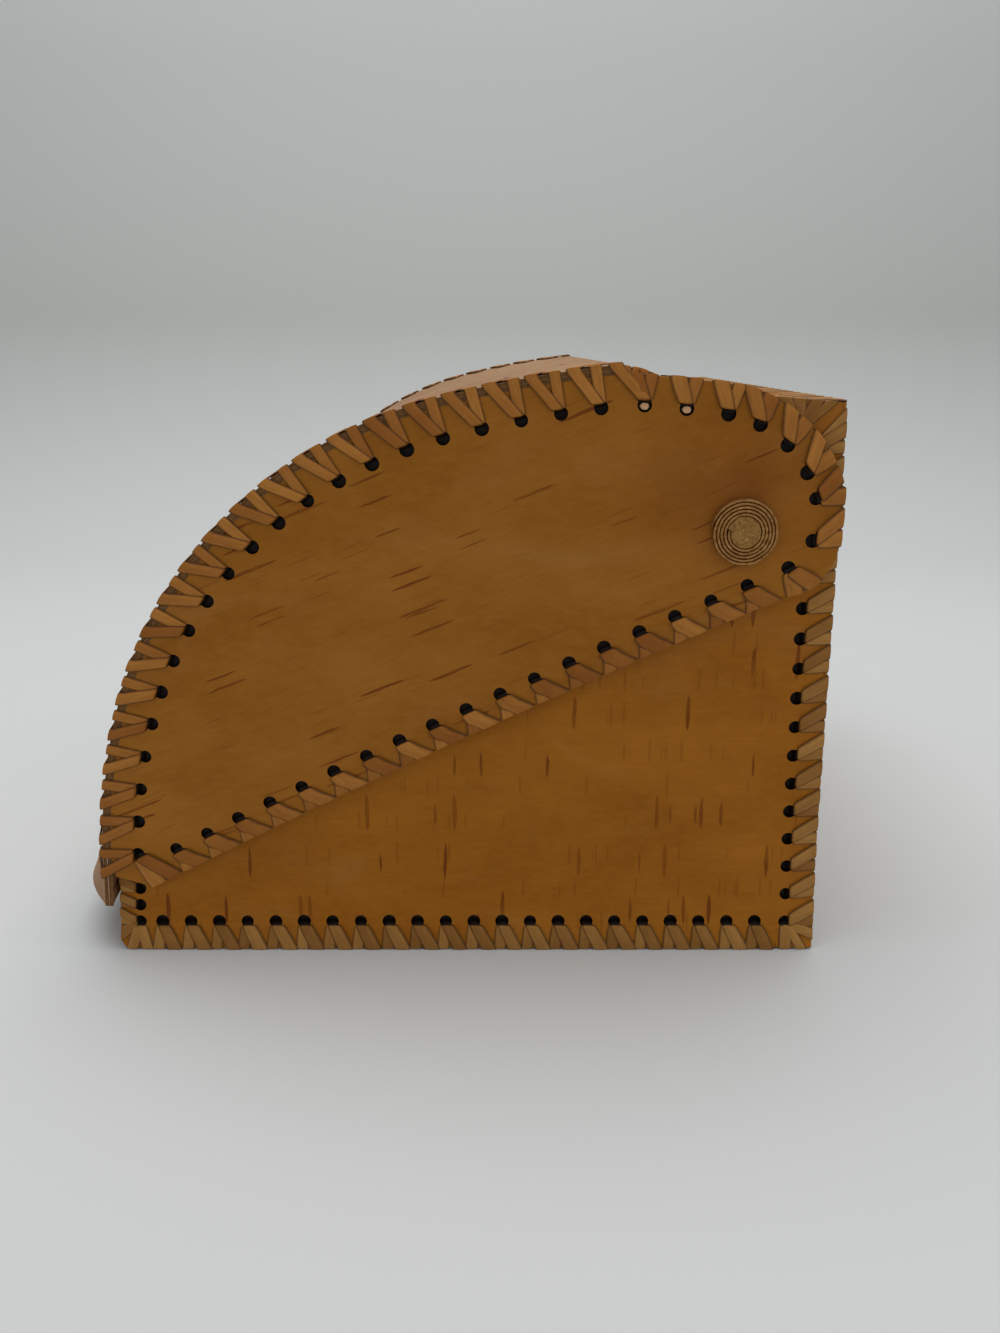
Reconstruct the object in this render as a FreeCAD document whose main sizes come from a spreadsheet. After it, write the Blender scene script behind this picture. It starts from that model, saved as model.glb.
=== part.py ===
import FreeCAD, Part
import math
import os
import re
import Sketcher
from FreeCAD import Rotation, Vector

# Birch bark box with a swinging curved lid, laced together with bark strips.
# Millimetres. +X is the rear, -X the lid's lip, -Y the near side, +Z up.
# The origin lies on the table under the middle of the box.

SIZES = (
    # Box
    ("box_width", 250.0, "across the outer faces of the lid's two side panels"),
    ("panel_thickness", 2.0, "bark of the box's own walls"),
    ("side_gap", 2.8, "between a lid side and the box side behind it"),
    ("front_reach", 105.5, "front wall's outer face ahead of the origin"),
    ("rear_reach", 122.7, "rear panel's outer face behind the origin, at its foot"),
    ("rear_lean", 4.1, "how far the rear panel's head leans forward of its foot"),
    ("rear_height", 176.6, "rear panel, from foot to head"),
    ("top_reach", 82.7, "front edge of the fixed top ahead of the rear panel's foot"),
    ("brow_rise", 5.2, "that edge above the rear panel's head"),
    ("front_wall_height", 27.0, "front wall, from foot to head"),
    ("side_brow_radius", 260.0, "round front edge of a box side"),
    # Curved lid cover, three arcs that meet in line
    ("cover_lap", 13.8, "rear end of the cover behind the front edge of the fixed top"),
    ("cover_rise", 5.55, "rear end of the cover above that edge"),
    ("cover_front_gap", 4.2, "front end of the cover ahead of the front wall"),
    ("cover_front_rise", 6.25, "front end of the cover above the front wall"),
    ("cover_rear_radius", 358.0, "flat rear stretch"),
    ("cover_start_angle", 5.6, "slope of the cover's rear end, in degrees"),
    ("cover_rear_angle", 8.7, "turn of the rear stretch, in degrees"),
    ("cover_main_angle", 58.0, "turn of the main stretch, in degrees"),
    ("cover_front_angle", 14.6, "turn of the front stretch, in degrees"),
    ("outer_bark", 1.3, "outer sheet of the cover"),
    ("lining_bark", 1.3, "lining sheet of the cover"),
    ("lip_length", 17.5, "cover below the lid sides"),
    ("lip_bow", 14.0, "how far the outer lip bows out at the middle"),
    ("lip_bow_run", 40.0, "from an end of the lip to its full bow"),
    # Lid side panels
    ("lid_side_thickness", 1.6, "bark of the lid's side panels"),
    ("seam_gap", 0.05, "between sheets that lie against each other"),
    ("toe_ahead", 0.7, "front corner of a lid side ahead of the front wall"),
    ("toe_drop", 6.9, "front corner of a lid side below the cover's front end"),
    ("sole_behind", 11.2, "front end of the lower edge behind that corner"),
    ("sole_drop", 3.4, "front end of the lower edge below that corner"),
    ("lid_lower_radius", 3000.0, "slight hollow of the lower edge"),
    ("heel_behind", 13.7, "rear end of the lower edge behind the pivot"),
    ("heel_below", 19.2, "rear end of the lower edge below the pivot"),
    ("lid_heel_radius", 17.0, "round below the rear edge"),
    ("rear_behind", 29.0, "rear edge of a lid side behind the pivot"),
    ("rear_below", 4.0, "foot of the rear edge below the pivot"),
    ("rear_above", 12.0, "head of the rear edge above the pivot"),
    ("lid_shoulder_radius", 44.0, "round above the rear edge"),
    ("shoulder_ahead", 2.3, "front end of that round ahead of the pivot"),
    ("shoulder_above", 42.0, "front end of that round above the pivot"),
    ("lid_top_radius", 300.0, "slight crown of the free edge at the top"),
    # Pivot pegs with their rolled bark buttons
    ("pivot_inset", 31.4, "pivot ahead of the rear panel's foot"),
    ("pivot_drop", 37.25, "pivot below the rear panel's head"),
    ("peg_radius", 4.3, "peg"),
    ("peg_clearance", 0.08, "peg in the lid side that swings on it"),
    ("peg_seat", 0.02, "peg in the box side"),
    ("button_gap", 0.3, "button off the lid side"),
    ("button_height", 3.2, "rolled button"),
    ("roll_start", 0.45, "middle of the roll's first turn off the peg"),
    ("roll_pitch", 1.05, "from one turn of the roll to the next"),
    ("roll_thickness", 0.6, "bark strip of the roll"),
    ("plate_width", 17.0, "square bark plate across the peg's inner end"),
    ("plate_height", 3.0, "thickness of that plate"),
    # Lacing
    ("strip_width", 5.0, "lacing strip at the corner that it goes round"),
    ("strip_neck", 4.1, "lacing strip at its hole"),
    ("strip_thickness", 0.6, "lacing strip"),
    ("strip_gap", 0.05, "lacing strip off the bark below it"),
    ("rim_gap", 0.5, "lacing strip off the rounded free edge of a lid side"),
    ("hole_width", 4.3, "punched hole"),
    ("box_pitch", 9.45, "from hole to hole on the box"),
    ("foot_pitch", 28.4, "from hole to hole across the foot of the front and rear"),
    ("cover_pitch", 12.1, "from hole to hole round the cover's edge"),
    ("lower_pitch", 11.6, "from hole to hole along a lid side's lower edge"),
    ("free_pitch", 13.6, "from hole to hole round the rest of its free edge"),
    ("box_inset", 9.0, "hole's centre from the box corner that its strip goes round"),
    ("cover_inset", 11.4, "hole's centre in a lid side from the cover's outer face"),
    ("free_inset", 7.4, "hole's centre from a lid side's free edge"),
    ("corner_room", 13.3, "first hole of a box run from the box's corner"),
    ("cover_room", 3.0, "first and last hole of the cover's run from its ends"),
    ("lower_room", 14.5, "first hole of the lower edge's run from its front end"),
    ("heel_room", 4.0, "first hole of the rest of the free edge from the lower edge"),
    ("box_slant", 4.6, "how far a box strip slants along its edge"),
    ("cover_slant", 6.6, "how far a cover strip slants along its edge"),
    ("free_slant", 6.8, "how far a free edge strip slants"),
    ("overrun", 4.0, "how far a punch goes past the middle of its hole"),
)
ROLL_TURNS = 5
ROLL_FACETS = 16
LID_HOLE_SIDES = 6
BOX_HOLE_SIDES = 4
LIP_STEPS = 3
# Shares of lip_bow_run and of lip_bow, from an end of the lip inward
LIP_BOW_SHARES = ((0.0, 0.0), (0.1, 0.29), (0.2, 0.5), (0.43, 0.79), (0.7, 0.93), (1.0, 1.0))
LINING_BOW_SHARE = 0.12
BOX_SIDES = (("near", -1), ("far", 1))

doc = FreeCAD.newDocument("birch_bark_box")
sheet = doc.addObject("Spreadsheet::Sheet", "Sizes")
for row, (alias, value, meaning) in enumerate(SIZES, start=1):
    sheet.set(f"A{row}", alias)
    sheet.set(f"B{row}", str(value))
    sheet.set(f"C{row}", meaning)
    sheet.setAlias(f"B{row}", alias)
doc.recompute()
ALIASES = re.compile(r"\b(" + "|".join(alias for alias, _, _ in SIZES) + r")\b")


def bound(formula):
    """A formula over the sheet's aliases, as an expression of this document."""
    return ALIASES.sub(r"Sizes.\1", formula)


def worth(formula):
    """The number that a formula over the sheet's aliases gives."""
    value = sheet.evalExpression(bound(formula))
    return float(getattr(value, "Value", value))


# Derived sizes and places, each written once as a formula
UNDERSIDE = "(strip_gap + strip_thickness)"
SIDE_FACE = "(box_width / 2 - lid_side_thickness - side_gap)"
SIDE_INNER = f"({SIDE_FACE} - panel_thickness)"
CROSS_END = f"({SIDE_INNER} - seam_gap)"
CROWN_X = "(rear_reach - rear_lean)"
CROWN_Z = f"({UNDERSIDE} + rear_height)"
BROW_X = "(rear_reach - top_reach)"
BROW_Z = f"({CROWN_Z} + brow_rise)"
FRONT_HEAD_Z = f"({UNDERSIDE} + front_wall_height)"
FLOOR_Z = f"({UNDERSIDE} + panel_thickness)"
PIVOT_X = "(rear_reach - pivot_inset)"
PIVOT_Z = f"({CROWN_Z} - pivot_drop)"
BUTTON_FACE = "(box_width / 2 + button_gap)"
BOX_BORE = "peg_radius + peg_seat"
LID_BORE = "peg_radius + peg_clearance"
LINING_DEPTH = "(outer_bark + seam_gap)"
COVER_DEPTH = f"({LINING_DEPTH} + lining_bark)"
LID_DEPTH = f"({COVER_DEPTH} + seam_gap)"

# The cover's rear end, its front end, and the slope at each joint of its arcs
START_X = f"({BROW_X} + cover_lap)"
START_Z = f"({BROW_Z} + cover_rise)"
END_X = "(-front_reach - cover_front_gap)"
END_Z = f"({FRONT_HEAD_Z} + cover_front_rise)"
TURNS = ("cover_rear_angle", "cover_main_angle", "cover_front_angle")
COVER_END = len(TURNS)
SLOPES = [" + ".join(("cover_start_angle",) + TURNS[:number]) for number in range(COVER_END + 1)]


def run_share(number):
    """How far ahead an arc of the cover reaches, for a radius of one."""
    return f"(sin({SLOPES[number + 1]}) - sin({SLOPES[number]}))"


def drop_share(number):
    """How far down an arc of the cover reaches, for a radius of one."""
    return f"(cos({SLOPES[number]}) - cos({SLOPES[number + 1]}))"


# The main and front radii are those with which the arcs end at the cover's front end
RUN_LEFT = f"({START_X} - {END_X} - cover_rear_radius * {run_share(0)})"
DROP_LEFT = f"({START_Z} - {END_Z} - cover_rear_radius * {drop_share(0)})"
PAIRING = f"({run_share(1)} * {drop_share(2)} - {run_share(2)} * {drop_share(1)})"
MAIN_RADIUS = f"(({RUN_LEFT} * {drop_share(2)} - {DROP_LEFT} * {run_share(2)}) / {PAIRING})"
FRONT_RADIUS = f"(({DROP_LEFT} * {run_share(1)} - {RUN_LEFT} * {drop_share(1)}) / {PAIRING})"
RADII = ("cover_rear_radius", MAIN_RADIUS, FRONT_RADIUS)


def cover_joint(number, depth):
    """Formulas of where the cover's arcs meet, at a depth below its outer face."""
    place_x = START_X
    place_z = START_Z
    for arc in range(number):
        place_x += f" - {RADII[arc]} * {run_share(arc)}"
        place_z += f" - {RADII[arc]} * {drop_share(arc)}"
    slope = SLOPES[number]
    return f"{place_x} + {depth} * sin({slope})", f"{place_z} - {depth} * cos({slope})"


class Side:
    """One side of an outline: a line, or an arc where it has a radius.

    An arc bows to the left of its direction where bulge is 1 and to the right where
    it is -1, seen with X to the right and Z up.
    """

    def __init__(self, start, radius=None, bulge=1):
        self.start = start
        self.radius = radius
        self.bulge = bulge


def spot(place):
    """The point in the XZ plane that a pair of formulas gives."""
    return Vector(worth(place[0]), 0, worth(place[1]))


def curve_between(start, end, side):
    """The line or arc of one side of an outline."""
    if side.radius is None:
        return Part.LineSegment(start, end)
    radius = worth(side.radius)
    chord = end - start
    left = Vector(-chord.z, 0, chord.x).normalize()
    rise = radius - math.sqrt(radius**2 - (chord.Length / 2) ** 2)
    return Part.Arc(start, (start + end) / 2 + left * (side.bulge * rise), end)


def outline_curves(sides, last=None):
    """The curves of an outline, closed unless its last corner is given apart."""
    corners = [spot(side.start) for side in sides]
    corners.append(spot(last) if last else corners[0])
    pairs = zip(corners, corners[1:], sides)
    return [curve_between(start, end, side) for start, end, side in pairs]


def bind(sketch, kind, formula, *where):
    """A constraint of a sketch that follows a formula over the sheet."""
    index = sketch.addConstraint(Sketcher.Constraint(kind, *where, worth(formula)))
    sketch.setExpression(f"Constraints[{index}]", bound(formula))


def outline_sketch(body, label, sides, bore):
    """An outline on the body's XZ plane, with every corner and radius bound."""
    sketch = body.newObject("Sketcher::SketchObject", f"{label}_outline")
    planes = body.Origin.OriginFeatures
    plane = next(feature for feature in planes if feature.Role == "XZ_Plane")
    sketch.AttachmentSupport = [(plane, "")]
    sketch.MapMode = "FlatFace"
    lay_down = Rotation(Vector(1, 0, 0), -90)
    heads = []
    for number, curve in enumerate(outline_curves(sides)):
        ends = [lay_down.multVec(curve.StartPoint), lay_down.multVec(curve.EndPoint)]
        if sides[number].radius is None:
            flat = Part.LineSegment(*ends)
        else:
            if sides[number].bulge > 0:
                ends.reverse()
            middle = curve.value((curve.FirstParameter + curve.LastParameter) / 2)
            flat = Part.Arc(ends[0], lay_down.multVec(middle), ends[1])
        sketch.addGeometry(flat, False)
        kept = sketch.Geometry[number]
        start = lay_down.multVec(spot(sides[number].start))
        heads.append(1 if (kept.StartPoint - start).Length < worth("seam_gap") else 2)
    for number, side in enumerate(sides):
        after = (number + 1) % len(sides)
        joint = (number, 3 - heads[number], after, heads[after])
        sketch.addConstraint(Sketcher.Constraint("Coincident", *joint))
        bind(sketch, "DistanceX", side.start[0], -1, 1, number, heads[number])
        bind(sketch, "DistanceY", side.start[1], -1, 1, number, heads[number])
        if side.radius:
            bind(sketch, "Radius", side.radius, number)
    if bore:
        centre = Vector(worth(PIVOT_X), worth(PIVOT_Z), 0)
        number = sketch.addGeometry(Part.Circle(centre, Vector(0, 0, 1), worth(bore)), False)
        bind(sketch, "DistanceX", PIVOT_X, -1, 1, number, 3)
        bind(sketch, "DistanceY", PIVOT_Z, -1, 1, number, 3)
        bind(sketch, "Radius", bore, number)
    return sketch


def bark_sheet(label, sides, far_face, reach, bore=None):
    """A body padded from far_face towards the near side by reach."""
    body = doc.addObject("PartDesign::Body", f"{label}_blank")
    sketch = outline_sketch(body, label, sides, bore)
    pad = body.newObject("PartDesign::Pad", f"{label}_pad")
    pad.Profile = sketch
    pad.setExpression("Length", bound(reach))
    body.setExpression("Placement.Base.y", bound(far_face))
    return body


punches = {}


def punch(label, centre, axis, corners):
    """Note a lacing hole, of that many corners, in the piece called label."""
    across = Vector(0, 0, 1) if abs(axis.y) > math.cos(math.pi / 4) else Vector(0, 1, 0)
    radius = worth("hole_width") / 2 / math.cos(math.pi / corners)
    start = centre - axis * worth("overrun")
    rim = []
    for number in range(corners):
        turn = Rotation(axis, 360 * (number + 1 / 2) / corners)
        rim.append(start + turn.multVec(across) * radius)
    face = Part.Face(Part.makePolygon(rim + rim[:1]))
    punches.setdefault(label, []).append(face.extrude(axis * (2 * worth("overrun"))))


def facets_between(before, after):
    """Flat faces between two cross-sections of equally many corners."""
    faces = []
    for number in range(len(before)):
        beside = (number + 1) % len(before)
        quad = [before[number], before[beside], after[beside], after[number]]
        normal = (quad[1] - quad[0]).cross(quad[2] - quad[0]).normalize()
        if abs((quad[3] - quad[0]).dot(normal)) < FreeCAD.Base.Precision.confusion():
            rims = [quad]
        else:
            rims = [quad[:3], [quad[0], quad[2], quad[3]]]
        faces += [Part.Face(Part.makePolygon(rim + rim[:1])) for rim in rims]
    return faces


def skin(rings):
    """The solid through flat cross-sections of equally many corners."""
    faces = [Part.Face(Part.makePolygon(ring + ring[:1])) for ring in (rings[0], rings[-1])]
    for before, after in zip(rings, rings[1:]):
        faces += facets_between(before, after)
    solid = Part.Solid(Part.Shell(faces))
    if solid.Volume < 0:
        solid.reverse()
    return solid


def strip(stations):
    """A flat bark strip through stations of (middle, half width, thickness)."""
    rings = []
    for middle, half, thick in stations:
        lower = [middle - half, middle + half]
        rings.append(lower + [middle + half + thick, middle - half + thick])
    return skin(rings)


class Frame:
    """A place on a laced corner: the point, and three directions there.

    along runs with the corner, face is the outward normal of the sheet that the
    strips start on, and edge the outward normal of the sheet that they go over.
    """

    def __init__(self, point, along, face, edge):
        self.point = point
        self.along = along
        self.face = face
        self.edge = edge

    def knee(self):
        """The direction out of the corner that stands one off both sheets."""
        return (self.face + self.edge) / (1 + self.face.dot(self.edge))

    def down_face(self):
        """The direction away from the corner in the first sheet."""
        return (self.face * self.face.dot(self.edge) - self.edge).normalize()

    def down_edge(self):
        """The direction away from the corner in the second sheet."""
        return (self.edge * self.face.dot(self.edge) - self.face).normalize()


def straight(start, along, face, edge):
    """A laced corner that runs straight, as a function of the place along it."""
    return lambda place: Frame(start + along * place, along, face, edge)


def curved(curves, side_y):
    """A laced corner that follows curves of the XZ plane, at side_y."""
    edges = [curve.toShape() for curve in curves]
    face = Vector(0, math.copysign(1, side_y), 0)

    def at(place):
        rest = max(place, 0)
        for edge in edges[:-1]:
            if rest <= edge.Length:
                break
            rest -= edge.Length
        else:
            edge = edges[-1]
        where = edge.getParameterByLength(min(rest, edge.Length))
        along = edge.tangentAt(where)
        point = edge.valueAt(where) + Vector(0, side_y, 0)
        return Frame(point, along, face, Vector(along.z, 0, -along.x))

    return at


def places(length, pitch, first, last):
    """Even places along a length, about one pitch apart, clear of its ends."""
    room = length - first - last
    gaps = max(1, round(room / pitch))
    return [first + room * number / gaps for number in range(gaps + 1)]


def half_widths(frame):
    """A strip's half width at its hole and at the corner."""
    return frame.along * (worth("strip_neck") / 2), frame.along * (worth("strip_width") / 2)


def lace_corner(label, at, spots, sheets, corners, insets, slants):
    """A run of strips over the corner of two sheets, and the holes in both.

    sheets names the two, corners and insets give their holes' corners and distances
    from the edge, and each hole has one strip for each slant, one over the other.
    """
    thick = worth("strip_thickness")
    strips = []
    for place in spots:
        hole = at(place)
        back = at(place + sum(slants) / len(slants))
        hole_spot = hole.point + hole.down_face() * insets[0]
        back_spot = back.point + back.down_edge() * insets[1]
        punch(sheets[0], hole_spot, hole.face, corners[0])
        punch(sheets[1], back_spot, back.edge, corners[1])
        for layer, slant in enumerate(slants):
            lift = worth("strip_gap") * (layer + 1) + thick * layer
            knee = at(place + slant)
            knee_spot = knee.point + knee.knee() * lift
            stations = (
                (hole_spot + hole.face * lift, half_widths(hole)[0], hole.face * thick),
                (knee_spot, half_widths(knee)[1], knee.knee() * thick),
                (back_spot + back.edge * lift, half_widths(back)[0], back.edge * thick),
            )
            strips.append(strip(stations))
    return run_of_lacing(label, strips)


def lace_edge(label, at, spots, edged):
    """A run of strips round the free edge of a lid side, and its holes."""
    thick = worth("strip_thickness")
    lift = worth("strip_gap")
    inset = worth("free_inset")
    bark = worth("lid_side_thickness")
    strips = []
    for place in spots:
        hole = at(place)
        knee = at(place + worth("free_slant"))
        through = hole.face * -(bark + 2 * lift)
        hole_spot = hole.point + hole.down_face() * inset
        punch(edged, hole_spot, hole.face, LID_HOLE_SIDES)
        front = hole_spot + hole.face * lift
        bend = knee.point + knee.face * lift + knee.edge * worth("rim_gap")
        neck = half_widths(hole)[0]
        broad = half_widths(knee)[1]
        stations = (
            (front, neck, hole.face * thick),
            (bend, broad, (knee.face + knee.edge) * thick),
            (bend + through, broad, (knee.edge - knee.face) * thick),
            (front + through, neck, hole.face * -thick),
        )
        strips.append(strip(stations))
    return run_of_lacing(label, strips)


def run_of_lacing(label, strips):
    """One run of lacing as a piece of its own."""
    run = doc.addObject("Part::Feature", label)
    run.Shape = Part.makeCompound(strips)
    return run


pieces = {}


def box_lacing(label, at, spots, sheets):
    """A run of single slanted strips on the box."""
    corners = (BOX_HOLE_SIDES, BOX_HOLE_SIDES)
    insets = (worth("box_inset"), worth("box_inset"))
    slants = (worth("box_slant"),)
    pieces[label] = lace_corner(label, at, spots, sheets, corners, insets, slants)


# The box's five sheets, as outlines in the XZ plane
FOOT_FRONT = ("-front_reach", UNDERSIDE)
FOOT_REAR = ("rear_reach", UNDERSIDE)
CROWN = (CROWN_X, CROWN_Z)
BROW = (BROW_X, BROW_Z)
FRONT_HEAD = ("-front_reach", FRONT_HEAD_Z)
FLOOR_LEAN = "rear_lean * panel_thickness / rear_height"
box_side = (
    Side(FOOT_FRONT),
    Side(FOOT_REAR),
    Side(CROWN),
    Side(BROW, "side_brow_radius", -1),
    Side(FRONT_HEAD),
)
base_panel = (
    Side(("-front_reach + panel_thickness + seam_gap", UNDERSIDE)),
    Side(("rear_reach - panel_thickness - seam_gap", UNDERSIDE)),
    Side((f"rear_reach - panel_thickness - seam_gap - {FLOOR_LEAN}", FLOOR_Z)),
    Side(("-front_reach + panel_thickness + seam_gap", FLOOR_Z)),
)
front_wall = (
    Side(FOOT_FRONT),
    Side(("-front_reach + panel_thickness", UNDERSIDE)),
    Side(("-front_reach + panel_thickness", FRONT_HEAD_Z)),
    Side(FRONT_HEAD),
)
rear_panel = (
    Side(("rear_reach - panel_thickness", UNDERSIDE)),
    Side(FOOT_REAR),
    Side(CROWN),
    Side((f"{CROWN_X} - panel_thickness", CROWN_Z)),
)
top_panel = (
    Side((BROW_X, f"{BROW_Z} - panel_thickness")),
    Side((f"{CROWN_X} - panel_thickness - seam_gap", f"{CROWN_Z} - panel_thickness")),
    Side((f"{CROWN_X} - panel_thickness - seam_gap", CROWN_Z)),
    Side(BROW),
)
blanks = {}
for label, sides in (
    ("base_panel", base_panel),
    ("front_wall", front_wall),
    ("rear_panel", rear_panel),
    ("top_panel", top_panel),
):
    blanks[label] = bark_sheet(label, sides, CROSS_END, f"2 * {CROSS_END}")
for name, far_face in (("near", f"-{SIDE_INNER}"), ("far", SIDE_FACE)):
    label = f"side_panel_{name}"
    blanks[label] = bark_sheet(label, box_side, far_face, "panel_thickness", BOX_BORE)

# The lid's sheets: a cover of two layers and a panel at each side
cover_line = [Side(cover_joint(n, "0"), RADII[n], -1) for n in range(COVER_END)]
lid_arcs = []
for n in range(COVER_END):
    lid_arcs.append(Side(cover_joint(n, LID_DEPTH), f"{RADII[n]} - {LID_DEPTH}", -1))
LID_TIP = cover_joint(COVER_END, LID_DEPTH)
TOE_X = "(-front_reach - toe_ahead)"
TOE_Z = f"({END_Z} - toe_drop)"
lid_front = [Side(LID_TIP), Side((TOE_X, TOE_Z))]
lid_free = [
    Side((f"{TOE_X} + sole_behind", f"{TOE_Z} - sole_drop"), "lid_lower_radius", 1),
    Side((f"{PIVOT_X} + heel_behind", f"{PIVOT_Z} - heel_below"), "lid_heel_radius", -1),
    Side((f"{PIVOT_X} + rear_behind", f"{PIVOT_Z} - rear_below")),
    Side((f"{PIVOT_X} + rear_behind", f"{PIVOT_Z} + rear_above"), "lid_shoulder_radius", -1),
    Side((f"{PIVOT_X} - shoulder_ahead", f"{PIVOT_Z} + shoulder_above"), "lid_top_radius", -1),
]
lid_side = lid_arcs + lid_front + lid_free
LID_INNER = "(box_width / 2 - lid_side_thickness)"
for name, far_face in (("near", f"-{LID_INNER}"), ("far", "box_width / 2")):
    label = f"lid_side_{name}"
    blanks[label] = bark_sheet(label, lid_side, far_face, "lid_side_thickness", LID_BORE)


def cover_layer(label, depth, bark):
    """One bark layer of the cover, from a depth below its outer face."""
    under = f"({depth} + {bark})"
    sides = []
    for n in range(COVER_END):
        sides.append(Side(cover_joint(n, depth), f"{RADII[n]} - {depth}", -1))
    sides.append(Side(cover_joint(COVER_END, depth)))
    for n in reversed(range(COVER_END)):
        sides.append(Side(cover_joint(n + 1, under), f"{RADII[n]} - {under}", 1))
    sides.append(Side(cover_joint(0, under)))
    return bark_sheet(label, sides, "box_width / 2", "box_width")


def lip_ring(start, down, out, bark, bow):
    """One cross-section of a lip that runs down from start and curves out by bow."""
    length = worth("lip_length")
    outer = []
    inner = []
    for step in range(LIP_STEPS + 1):
        share = step / LIP_STEPS
        spot_outside = start + down * (length * share) + out * (bow * share**2)
        square = (out * length - down * (2 * bow * share)).normalize()
        outer.append(spot_outside)
        inner.append(spot_outside - square * bark)
    return outer + inner[::-1]


def lip(label, depth, bark, bow_share):
    """The lip below the lid sides, which bows out between its two ends."""
    top = spot(cover_joint(COVER_END, depth))
    turn = math.radians(worth(SLOPES[COVER_END]))
    down = Vector(-math.cos(turn), 0, -math.sin(turn))
    out = Vector(-math.sin(turn), 0, math.cos(turn))
    half = worth("box_width") / 2
    bow = worth("lip_bow") * bow_share
    stations = [(worth("lip_bow_run") * run, bow * share) for run, share in LIP_BOW_SHARES]
    near_half = [(run - half, bow) for run, bow in stations]
    far_half = [(half - run, bow) for run, bow in reversed(stations)]
    rings = []
    for side_y, bow in near_half + far_half:
        rings.append(lip_ring(top + Vector(0, side_y, 0), down, out, worth(bark), bow))
    shape = doc.addObject("Part::Feature", f"{label}_lip")
    shape.Shape = skin(rings)
    return shape


for label, depth, bark, bow_share in (
    ("cover_outer", "0", "outer_bark", 1),
    ("cover_lining", LINING_DEPTH, "lining_bark", LINING_BOW_SHARE),
):
    whole = doc.addObject("Part::MultiFuse", f"{label}_sheet")
    whole.Shapes = [cover_layer(label, depth, bark), lip(label, depth, bark, bow_share)]
    blanks[label] = whole


def peg(label, out):
    """The peg that a lid side swings on, from its plate to the button's face."""
    rod = doc.addObject("Part::Cylinder", label)
    rod.setExpression("Radius", bound("peg_radius"))
    rod.setExpression("Height", bound(f"{BUTTON_FACE} + button_height - {CROSS_END}"))
    rod.Placement.Rotation = Rotation(Vector(1, 0, 0), -90 * out)
    rod.setExpression("Placement.Base.x", bound(PIVOT_X))
    rod.setExpression("Placement.Base.y", bound(f"{out} * {CROSS_END}"))
    rod.setExpression("Placement.Base.z", bound(PIVOT_Z))
    return rod


def plate(label, out):
    """The square plate across a peg's inner end, flat on the box side."""
    block = doc.addObject("Part::Box", label)
    block.setExpression("Length", bound("plate_width"))
    block.setExpression("Width", bound("plate_height"))
    block.setExpression("Height", bound("plate_width"))
    low_y = f"{CROSS_END} - plate_height" if out > 0 else f"-{CROSS_END}"
    block.setExpression("Placement.Base.x", bound(f"{PIVOT_X} - plate_width / 2"))
    block.setExpression("Placement.Base.y", bound(low_y))
    block.setExpression("Placement.Base.z", bound(f"{PIVOT_Z} - plate_width / 2"))
    return block


def roll(label, out):
    """The button: a bark strip wound round the peg in an even spiral."""
    centre = Vector(worth(PIVOT_X), out * worth(BUTTON_FACE), worth(PIVOT_Z))
    half_bark = worth("roll_thickness") / 2
    inner = []
    outer = []
    for number in range(ROLL_TURNS * ROLL_FACETS + 1):
        turn = 2 * math.pi * number / ROLL_FACETS
        radius = worth("peg_radius + roll_start") + worth("roll_pitch") * number / ROLL_FACETS
        ray = Vector(math.cos(turn), 0, math.sin(turn))
        inner.append(centre + ray * (radius - half_bark))
        outer.append(centre + ray * (radius + half_bark))
    rim = inner + outer[::-1]
    button = doc.addObject("Part::Feature", label)
    face = Part.Face(Part.makePolygon(rim + rim[:1]))
    button.Shape = face.extrude(Vector(0, out * worth("button_height"), 0))
    first_turns = Part.makePolygon(outer[:-ROLL_FACETS])
    next_turns = Part.makePolygon(inner[ROLL_FACETS:])
    gap = first_turns.distToShape(next_turns)[0]
    print(f"{label}: {ROLL_TURNS} turns, least gap to itself {gap:.2f} mm")
    return button


for name, out in BOX_SIDES:
    pieces[f"peg_{name}"] = peg(f"peg_{name}", out)
    pieces[f"peg_plate_{name}"] = plate(f"peg_plate_{name}", out)
    pieces[f"button_{name}"] = roll(f"button_{name}", out)

# Lacing of the box
rise = (spot(CROWN) - spot(FOOT_REAR)).normalize()
rear_out = Vector(rise.z, 0, -rise.x)
rear_length = (spot(CROWN) - spot(FOOT_REAR)).Length
ahead = (spot(BROW) - spot(CROWN)).normalize()
top_out = Vector(ahead.z, 0, -ahead.x)
top_length = (spot(BROW) - spot(CROWN)).Length
foot_length = worth("front_reach + rear_reach")
front_length = worth("front_wall_height")
down = Vector(0, 0, -1)
front_out = Vector(-1, 0, 0)
side_y = worth(SIDE_FACE)
room = worth("corner_room")
pitch = worth("box_pitch")
inset = worth("box_inset")
for name, out in BOX_SIDES:
    face = Vector(0, out, 0)
    side = f"side_panel_{name}"
    shift = Vector(0, out * side_y, 0)
    foot = straight(spot(FOOT_FRONT) + shift, Vector(1, 0, 0), face, down)
    spots = places(foot_length, pitch, room, room + worth("box_slant"))
    box_lacing(f"lacing_foot_{name}", foot, spots, (side, "base_panel"))
    rear = straight(spot(FOOT_REAR) + shift, rise, face, rear_out)
    spots = places(rear_length, pitch, room, room)
    box_lacing(f"lacing_rear_{name}", rear, spots, (side, "rear_panel"))
    front = straight(spot(FOOT_FRONT) + shift, Vector(0, 0, 1), face, front_out)
    spots = places(front_length, pitch, inset, inset)
    box_lacing(f"lacing_front_{name}", front, spots, (side, "front_wall"))
    top = straight(spot(CROWN) + shift, ahead, face, top_out)
    spots = places(top_length, pitch, room, inset)
    box_lacing(f"lacing_top_{name}", top, spots, (side, "top_panel"))
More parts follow.
